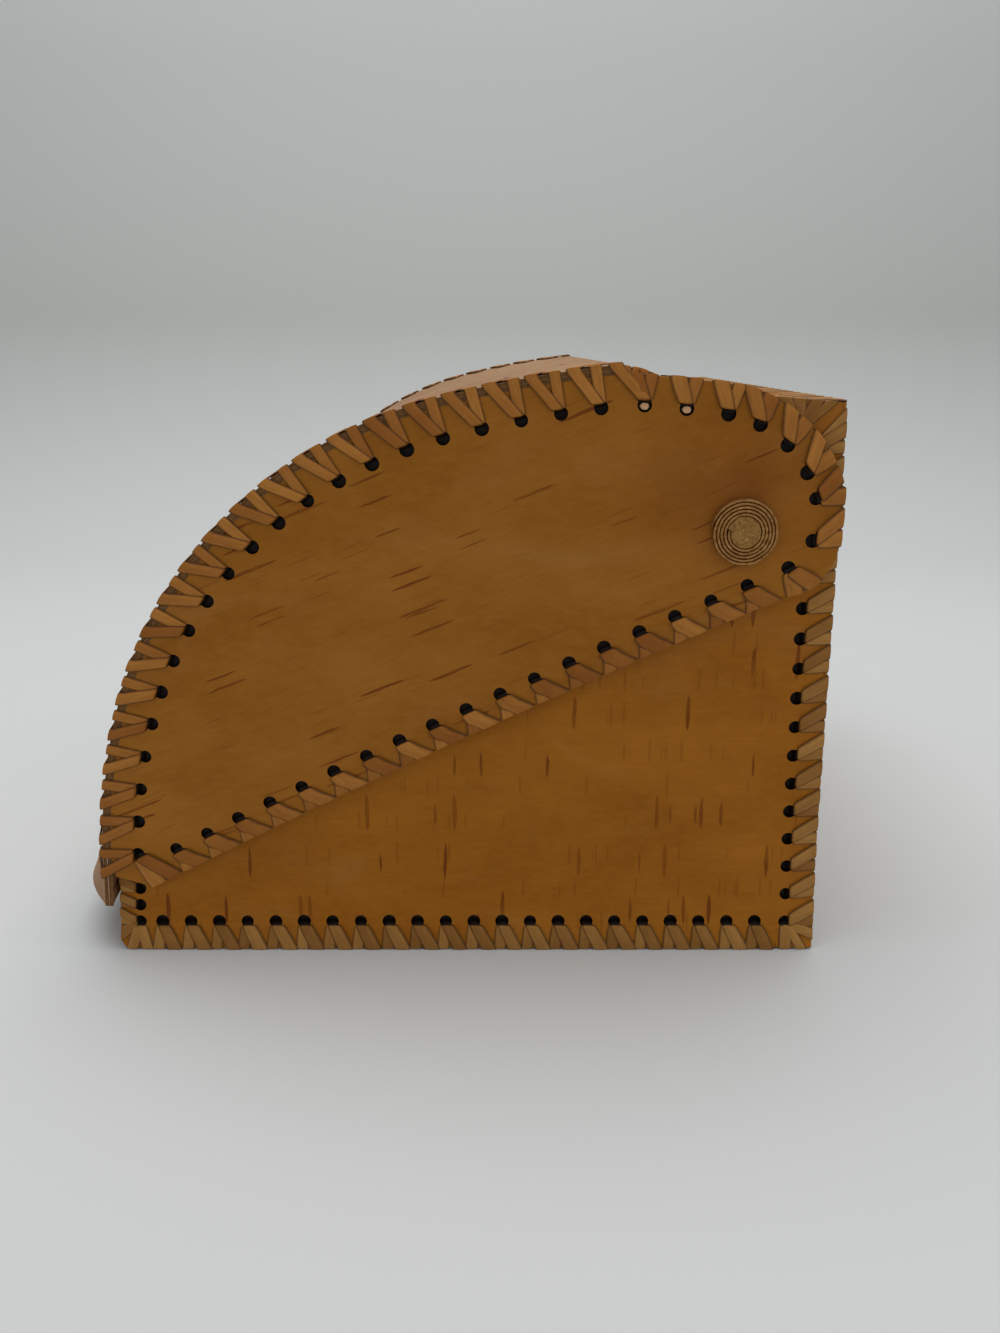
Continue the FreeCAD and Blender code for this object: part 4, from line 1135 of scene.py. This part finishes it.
    def lace_lid_side(self, name, out):
        """The free edges of one side of the lid: lower, rear and crest, and the toe."""
        lid, lace, rim = self.plans.lid, self.plans.lace, self.plans.rims["free"]
        at = curved(rim, out * lid.width / 2)
        reach = rim.joints[1]
        lower = even_places(reach, lace.lower_pitch, lace.lower_room, lace.lower_end)
        upper = even_places(rim.length - reach, lace.free_pitch, lace.heel_room, lace.top_room)
        upper = reach + np.concatenate([[lace.heel_first], upper])
        low = upper < rim.joints[4] - 6
        inset = lace.free_inset
        parts = []
        for spots, depth, slants, lifts, seed, bend in (
            (lower, inset, (-0.8, 4.6), (HEM_UNDER, HEM_OVER), 31, 0.9),
            (upper[low], inset + 0.8, (0.8, 7.2), (REAR_UNDER, REAR_OVER), 32, 0),
            (upper[~low], inset + 0.8, (-1.6, 3.8), (HEM_BACK, HEM_AHEAD), 33, 0),
        ):
            hems, holes = lay_hems(
                at, spots, depth, slants, lifts, lid.panel, lace, seed, bend)
            parts += [*hems, lay_stitches(*holes, lid.panel, lace, 34)]
            self.holes[f"lid_side_{name}"].append(holes)
        parts += lay_hems(at, [lace.toe_place], lace.toe_inset, (0.2, 6.0),
                          (TOE_UNDER, TOE_OVER), lid.panel, lace, 35)[0]
        centres, faces = holes
        parts.append(lay_knots(centres[-2:], faces[-2:], at(upper[-2:])[1], 36))
        self.runs[f"lacing_lid_{name}"] = ("lid", parts)

    def holes_of(self, sheet):
        """Centres and axes of the lacing holes of a sheet."""
        centres, axes = zip(*self.holes[sheet])
        return np.concatenate(centres), np.concatenate(axes)


# Pieces

# How much less than the lip's bow the outer cover bows out, in millimetres
LIP_EASE = 0.2


def bark_sheet(node, outer, inner, plans, finish, seed=None, bore=None):
    """A sheet of bark as a piece, with its lacing holes cut where it has a seed for them."""
    thing = slab(f"{node}_sheet", outer, inner, finish)
    on_lid = node.startswith(("lid", "cover"))
    if seed is not None:
        centres, axes = Lacing(plans).holes_of(node)
        if node == "cover_outer":
            centres = bowed(centres, plans, plans.lid.lip_bow - LIP_EASE)
        elif not on_lid:
            centres = flared(centres, plans.box)
        punch(thing, centres, axes, plans.lace.hole, finish, seed, bore)
    finish_piece(thing, "lid" if on_lid else "box", "bark_panel", node)


class BARKBOX_OT_side_panels(bpy.types.Operator):
    """Make the two side panels of the box, ruled between the foot and the head"""

    bl_idname = "barkbox.side_panels"
    bl_label = "Box sides"

    def execute(self, context):
        plans = plan(context)
        box = plans.box
        head = Rim([plans.head, plans.brow, plans.crown], [box.brow_radius, None])
        upper = head.at(head.shares(120))[0]
        share = (upper[:, :1] + box.front_reach) / (plans.crown[0] + box.front_reach)
        lower = plans.foot_front + (plans.foot_rear - plans.foot_front) * share
        rows = np.linspace(0, 1, 30)[:, None, None]
        pairs = lower + (upper - lower) * rows
        finish = finishes(context)("side_bark", "bark_edge", "hole_wall")
        for name, out in OUTS:
            face = box.side_face + 0.12 * smooth_noise(pairs * 0.03, 5 + out)
            outer = flared(spatial(pairs, out * face), box)
            inner = flared(spatial(pairs, out * (face - box.panel)), box)
            bore = (spatial(plans.pivot, out * box.side_face), plans.lace.peg + 0.02)
            bark_sheet(f"side_panel_{name}", outer, inner, plans, finish, 21, bore)
        return {"FINISHED"}


class BARKBOX_OT_cross_panels(bpy.types.Operator):
    """Make the base, the front wall, the rear and the top: flat sheets with some waviness"""

    bl_idname = "barkbox.cross_panels"
    bl_label = "Base, front, rear and top"

    def execute(self, context):
        plans = plan(context)
        box = plans.box
        finish = finishes(context)("cross_bark", "bark_edge", "hole_wall")
        half = box.side_face - box.panel - 0.05
        gap = box.panel + 0.05
        lean = box.rear_lean * box.panel / box.rear_height
        base = (plans.foot_front + [gap, 0], plans.foot_rear - [gap + lean, 0])
        top = (plans.brow, plans.crown + plans.ahead * gap)
        sheets = (
            ("base_panel", base, UP),
            ("front_wall", (plans.foot_front, plans.head), RIGHT),
            ("rear_panel", (plans.foot_rear, plans.crown), -plans.rear_out),
            ("top_panel", top, -plans.top_out),
        )
        shares = np.linspace(0, 1, 36)[:, None, None]
        sides = np.linspace(-half, half, 60)
        for seed, (name, ends, inward) in enumerate(sheets):
            line = ends[0] + (ends[1] - ends[0]) * shares
            outer = spatial(np.broadcast_to(line, (36, 60, 2)), sides)
            if name != "base_panel":
                swell = 0.1 + 0.15 * (1 + smooth_noise(outer * 0.03, 40 + seed))
                outer = outer + inward * swell[..., None] * np.sin(np.pi * shares)
            inner = flared(outer + inward * box.panel, box)
            bark_sheet(name, flared(outer, box), inner, plans, finish, 50 + seed)
        return {"FINISHED"}


class BARKBOX_OT_lid_sides(bpy.types.Operator):
    """Make the two sides of the lid, ruled between their lower and their upper edge"""

    bl_idname = "barkbox.lid_sides"
    bl_label = "Lid sides"

    def execute(self, context):
        plans = plan(context)
        lid, rims = plans.lid, plans.rims
        count = 170
        lower_rim = rims["lower"]
        lower = lower_rim.at(np.linspace(0, lower_rim.length, count))[0]
        cover = rims["side"]
        arc = cover.at(np.linspace(cover.length, 0, 600))[0]
        rear = rims["upper"].at(np.linspace(rims["upper"].length, 0, 200))[0]
        chain = np.concatenate([arc, rear])
        gone = np.concatenate([[0], np.cumsum(np.linalg.norm(np.diff(chain, axis=0), axis=1))])
        wanted = np.linspace(0, gone[-1], count)
        upper = np.stack([np.interp(wanted, gone, chain[:, axis]) for axis in (0, 1)], -1)
        rows = np.linspace(0, 1, 26)[:, None, None]
        pairs = lower + (upper - lower) * rows
        finish = finishes(context)("lid_bark", "bark_edge", "hole_wall")
        for name, out in OUTS:
            face = lid.width / 2 + 0.16 * smooth_noise(pairs * 0.035, 8 + out)
            outer = spatial(pairs, out * face)
            inner = spatial(pairs, out * (face - lid.panel))
            bore = (spatial(plans.pivot, out * lid.width / 2), plans.lace.peg + 0.08)
            bark_sheet(f"lid_side_{name}", outer, inner, plans, finish, 22, bore)
        return {"FINISHED"}


class BARKBOX_OT_cover(bpy.types.Operator):
    """Make the two layers of the lid's cover, with the lip that bows out at its front

    A layer's section follows its arcs and then runs straight on into the lip, whose
    length is ragged along the width.
    """

    bl_idname = "barkbox.cover"
    bl_label = "Cover"

    def execute(self, context):
        plans = plan(context)
        lid, rims = plans.lid, plans.rims
        half = lid.width / 2
        down = -np.array([math.cos(plans.front_slope), math.sin(plans.front_slope)])
        ramp = (1 - np.cos(np.linspace(0, np.pi / 2, 16))) * lid.lip_run
        middle = np.linspace(lid.lip_run, lid.width - lid.lip_run, 40)[1:-1]
        sides = np.concatenate([ramp, middle, lid.width - ramp[::-1]]) - half
        run = np.clip((half - np.abs(sides)) / lid.lip_run, 0, 1)
        drop = np.linspace(0, 1, 12)[1:]
        ragged = 0.7 + 0.6 * smooth_noise(sides[:, None] * 0.22, 71, 9)
        ragged += 0.35 * smooth_noise(sides[:, None] * 1.1, 72, 9)
        fall = drop[:, None] * (lid.lip_length - np.clip(ragged, 0, 2) * (run > 0))
        finish = finishes(context)("cover_bark", "bark_edge", "hole_wall")
        for label, over, under, bow, seed in (
            ("cover_outer", "outer", "outer_under", lid.lip_bow - LIP_EASE, 23),
            ("cover_lining", "lining", "lining_under", 0.12 * lid.lip_bow, None),
        ):
            grids = []
            for rim in (rims[over], rims[under]):
                line = rim.at(np.linspace(0, rim.length, 130))[0]
                line = np.broadcast_to(line[:, None], (130, len(sides), 2))
                lip = rim.at(rim.length)[0] + down * fall[..., None]
                points = spatial(np.concatenate([line, lip]), sides)
                grids.append(bowed(points, plans, bow))
            outer, inner = grids
            fade = np.clip((half - np.abs(outer[..., 1])) / 12, 0, 1)
            ends = np.sin(np.pi * np.linspace(0, 1, len(outer))) ** 0.5
            dent = 0.35 * (1 + smooth_noise(outer * 0.03, 75)) * fade * ends[:, None]
            dent = dent[..., None] * unit(inner - outer)
            bark_sheet(label, outer + dent, inner + dent, plans, finish, seed)
        return {"FINISHED"}


# Where the roll of a button starts on its turn
ROLL_START = math.atan2(0.2, -1)


def lathe(name, profile, centre, out, finishes_used, seed, rough, snail):
    """A turned piece: radius and height pairs carried round the Y axis, poles closed.

    Above the snail's height a radius grows by the snail's pitch times the share of a
    turn since its start, so that the end fills the first turn of the rolled bark.
    """
    profile = np.asarray(profile, float)
    turn = np.linspace(0, 2 * np.pi, 72, endpoint=False)
    height = profile[:, 1:] + 0 * turn
    since = (turn - snail[1]) % (2 * np.pi) / (2 * np.pi)
    grown = np.where(height > snail[0], snail[2] * since, 0)
    radius = profile[:, :1] * (1 + grown / profile[:, 0].max())
    points = np.stack([radius * np.cos(turn), out * height, radius * np.sin(turn)], -1)
    bumps = rough * smooth_noise(points * 2.1, seed, 12)
    ends = np.clip(1 - np.abs(np.gradient(profile[:, 1])), 0, 1)[:, None]
    points[..., 1] -= out * np.abs(bumps) * ends
    return capped(name, points + centre, finishes_used)


class BARKBOX_OT_pegs(bpy.types.Operator):
    """Make the pegs and the plates that hold them inside

    A plate is a rounded square: at a turn its edge stands from the middle at half the
    width times (cosine to the power 8 + sine to the power 8) to the power -1/8.
    """

    bl_idname = "barkbox.pegs"
    bl_label = "Pegs"

    def execute(self, context):
        plans = plan(context)
        box, lid, lace = plans.box, plans.lid, plans.lace
        wood = finishes(context)("whittled_wood")
        low = box.side_face - box.panel - 0.05
        high = lid.width / 2 + lace.button_gap + lace.button_height - 0.15
        radius = lace.peg
        ends = np.linspace(0.08, 0.9, 9) * radius
        profile = [(r, low) for r in ends] + [(radius - 0.15, low), (radius, low + 0.2)]
        profile += [(radius, place) for place in np.linspace(low + 1, high - 0.8, 8)]
        profile += [(radius - 0.25, high - 0.2)] + [(r, high) for r in ends[::-1]]
        snail = (lid.width / 2 + lace.button_gap + 0.5, ROLL_START, lace.roll_pitch)
        turn = np.linspace(0, 2 * np.pi, 64, endpoint=False)
        square = np.abs(np.cos(turn)) ** 8 + np.abs(np.sin(turn)) ** 8
        reach = lace.plate_width / 2 * square ** (-1 / 8)
        ring = np.stack([reach * np.cos(turn), reach * np.sin(turn)], -1)
        shares = np.array([0.05, 0.4, 0.8, 0.93, 1, 1, 0.93, 0.8, 0.4, 0.05])
        pairs = plans.pivot + ring * shares[:, None, None]
        deep = lace.plate_height
        levels = np.array([0, 0, 0, 0.05, 0.45, deep - 0.45, deep - 0.05, deep, deep, deep])
        for name, out in OUTS:
            thing = lathe(f"peg_{name}_turned", profile, spatial(plans.pivot), out, wood,
                          81, 0.6, snail)
            finish_piece(thing, "box", "peg_wood", f"peg_{name}")
            rings = spatial(pairs, out * (low - levels[:, None]))
            plate = capped(f"peg_plate_{name}_shaped", rings, wood)
            finish_piece(plate, "box", "peg_wood", f"peg_plate_{name}")
        return {"FINISHED"}


class BARKBOX_OT_buttons(bpy.types.Operator):
    """Make the buttons: a bark strip wound round each peg in an even spiral

    At a turn t the strip stands at the radius start + pitch * t / (2 pi), and its rough
    outer end falls away towards the rim as a shallow dome.
    """

    bl_idname = "barkbox.buttons"
    bl_label = "Buttons"

    def execute(self, context):
        plans = plan(context)
        lid, lace = plans.lid, plans.lace
        finish = finishes(context)("rolled_bark")
        count = 5 * 56 + 1
        turn = np.linspace(0, 10 * np.pi, count)
        radius = lace.peg + lace.roll_start + lace.roll_pitch * turn / (2 * np.pi)
        bark = np.full(count, lace.roll_bark)
        bark[-8:] *= np.linspace(1, 0.35, 8)
        bark[:6] *= np.linspace(0.4, 1, 6)
        profile = np.array([(-0.5, 0), (-0.5, 0.45), (-0.5, 0.8), (-0.36, 0.96), (0, 1),
                            (0.36, 0.96), (0.5, 0.8), (0.5, 0.45), (0.5, 0)])
        draw = np.random.default_rng(91)
        rough = np.convolve(draw.normal(size=(count + 4)), [0.2, 0.3, 0.3, 0.2], "same")[:count]
        jagged = draw.normal(size=(count, 9)) * np.array([0, 0, 0.3, 1, 1, 1, 0.3, 0, 0])
        top = lace.button_height - 0.35 - 0.55 * (radius / radius[-1]) ** 3 + 0.22 * rough
        low = lid.width / 2 + lace.button_gap
        spin = (turn + ROLL_START)[:, None]
        grid = np.arange(count * 9).reshape(count, 9)
        lace_values = np.stack(np.broadcast_arrays(
            radius[:, None] * 3 + profile[:, 0], (radius * turn * 0.35)[:, None], profile[:, 1]
        ), -1).reshape(-1, 3)
        for name, out in OUTS:
            across = radius[:, None] + bark[:, None] * profile[:, 0] + 0.03 * jagged
            height = low + top[:, None] * profile[:, 1] + 0.09 * jagged
            points = [across * np.cos(spin), out * height, across * np.sin(spin)]
            points = np.stack(points, -1) + spatial(plans.pivot)
            faces = [patches(grid, True), fan(grid[0, ::-1]), fan(grid[-1])]
            thing = new_mesh(f"button_{name}_roll", points.reshape(-1, 3),
                             np.concatenate(faces), finish, None, {"lace": lace_values})
            finish_piece(thing, "box", "bark_roll", f"button_{name}")
        return {"FINISHED"}


class BARKBOX_OT_lacing(bpy.types.Operator):
    """Lace every corner and free edge with flat strips of bark"""

    bl_idname = "barkbox.lacing"
    bl_label = "Lacing"

    def execute(self, context):
        plans = plan(context)
        pick = finishes(context)
        moulds = {
            "box": lambda points: flared(points, plans.box),
            "lid": lambda points: bowed(points, plans, plans.lid.lip_bow - LIP_EASE),
        }
        for label, (body, parts) in Lacing(plans).runs.items():
            lacing_piece(label, parts, pick(f"{body}_lace"), body, moulds[body])
        return {"FINISHED"}


# The camera: sensor in millimetres, focal length over the sensor's longer side, and
# pitch in degrees below the level
SENSOR = 36
FOCAL_SHARE = 1100 / 1333
CAMERA_PITCH = 16.3


class BARKBOX_OT_stage(bpy.types.Operator):
    """Set the floor, the backdrop, the lights and the camera"""

    bl_idname = "barkbox.stage"
    bl_label = "Stage"

    def execute(self, context):
        look = context.scene.bark_stage
        floor, bent, wall = tuple(look.floor), tuple(look.bend), tuple(look.wall)
        # The sweep in metres: its front, where it bends, its back, its top, its radius
        front, knee, back, high, bend = -1.6, 0.55, 1.1, 2.4, 0.55
        turn = np.linspace(0, np.pi / 2, 24)
        arc = np.stack([knee + bend * np.sin(turn), bend - bend * np.cos(turn)], -1)
        line = np.concatenate([[[front, 0]], arc, [[back, high]]])
        points = np.array([(side, *place) for place in line for side in (-2.5, 2.5)])
        quads = patches(np.arange(len(points)).reshape(-1, 2))
        mesh = bpy.data.meshes.new("studio_sweep")
        mesh.from_pydata(points.tolist(), [], quads.tolist())
        mesh.shade_smooth()
        recipe = Recipe("studio_sweep")
        depth = recipe.node("SeparateXYZ", "Z", {0: recipe.place})
        paper = recipe.noise(recipe.cells(RIGHT, UP, (2, 2, 2)), 3, 0.5)
        # Painted shade: the sweep darkens from the floor up to its bend and lightens again higher
        # up
        colour = recipe.mix(recipe.span(depth, 0.0, 0.22), floor, bent)
        colour = recipe.mix(recipe.span(depth, 0.24, 0.6), colour, wall)
        mesh.materials.append(recipe.finish(colour, 0.9, paper, 0.02, 0.1))
        place_in_scene("studio_sweep", mesh)
        world = bpy.data.worlds.new("studio")
        world.use_nodes = True
        backing = world.node_tree.nodes["Background"]
        backing.inputs["Color"].default_value = (*look.sky, 1)
        backing.inputs["Strength"].default_value = look.fill
        context.scene.world = world
        lamp = bpy.data.lights.new("overhead", "AREA")
        lamp.shape = "RECTANGLE"
        lamp.size = 1.1
        lamp.size_y = 0.9
        lamp.energy = look.lamp
        overhead = place_in_scene("overhead", lamp)
        overhead.location = (0.0, 0.12, 1.15)
        overhead.rotation_euler = Euler((math.radians(-4), 0, 0))
        camera = bpy.data.cameras.new("camera")
        camera.sensor_width = SENSOR
        camera.lens = SENSOR * FOCAL_SHARE
        camera.clip_start = 0.01
        viewer = place_in_scene("camera", camera)
        viewer.location = (0.019, -0.450, 0.1934)
        viewer.rotation_euler = (math.radians(90 - CAMERA_PITCH), 0, 0)
        context.scene.camera = viewer
        context.scene.view_settings.view_transform = "Standard"
        return {"FINISHED"}


OPERATORS = (
    BARKBOX_OT_side_panels,
    BARKBOX_OT_cross_panels,
    BARKBOX_OT_lid_sides,
    BARKBOX_OT_cover,
    BARKBOX_OT_pegs,
    BARKBOX_OT_buttons,
    BARKBOX_OT_lacing,
    BARKBOX_OT_stage,
)
GROUPS = {
    "bark_box": BoxSizes,
    "bark_lid": LidSizes,
    "bark_lacing": LacingSizes,
    "bark_colours": BarkColours,
    "bark_stage": StageLook,
}


class BARKBOX_PT_panel(bpy.types.Panel):
    """The box's sizes, colours and pieces"""

    bl_idname = "BARKBOX_PT_panel"
    bl_label = "Bark box"
    bl_space_type = "VIEW_3D"
    bl_region_type = "UI"
    bl_category = "Bark box"

    def draw(self, context):
        for operator in OPERATORS:
            self.layout.operator(operator.bl_idname)
        for key, group in GROUPS.items():
            column = self.layout.column()
            for name in group.__annotations__:
                column.prop(getattr(context.scene, key), name)


def register():
    for group in GROUPS.values():
        bpy.utils.register_class(group)
    for operator in OPERATORS:
        bpy.utils.register_class(operator)
    bpy.utils.register_class(BARKBOX_PT_panel)
    for key, group in GROUPS.items():
        setattr(bpy.types.Scene, key, bpy.props.PointerProperty(type=group))


def unregister():
    for key in GROUPS:
        delattr(bpy.types.Scene, key)
    bpy.utils.unregister_class(BARKBOX_PT_panel)
    for operator in reversed(OPERATORS):
        bpy.utils.unregister_class(operator)
    for group in reversed(GROUPS.values()):
        bpy.utils.unregister_class(group)


def main():
    """Build every piece."""
    register()
    for operator in OPERATORS:
        family, name = operator.bl_idname.split(".")
        getattr(getattr(bpy.ops, family), name)()


if __name__ == "__main__":
    main()
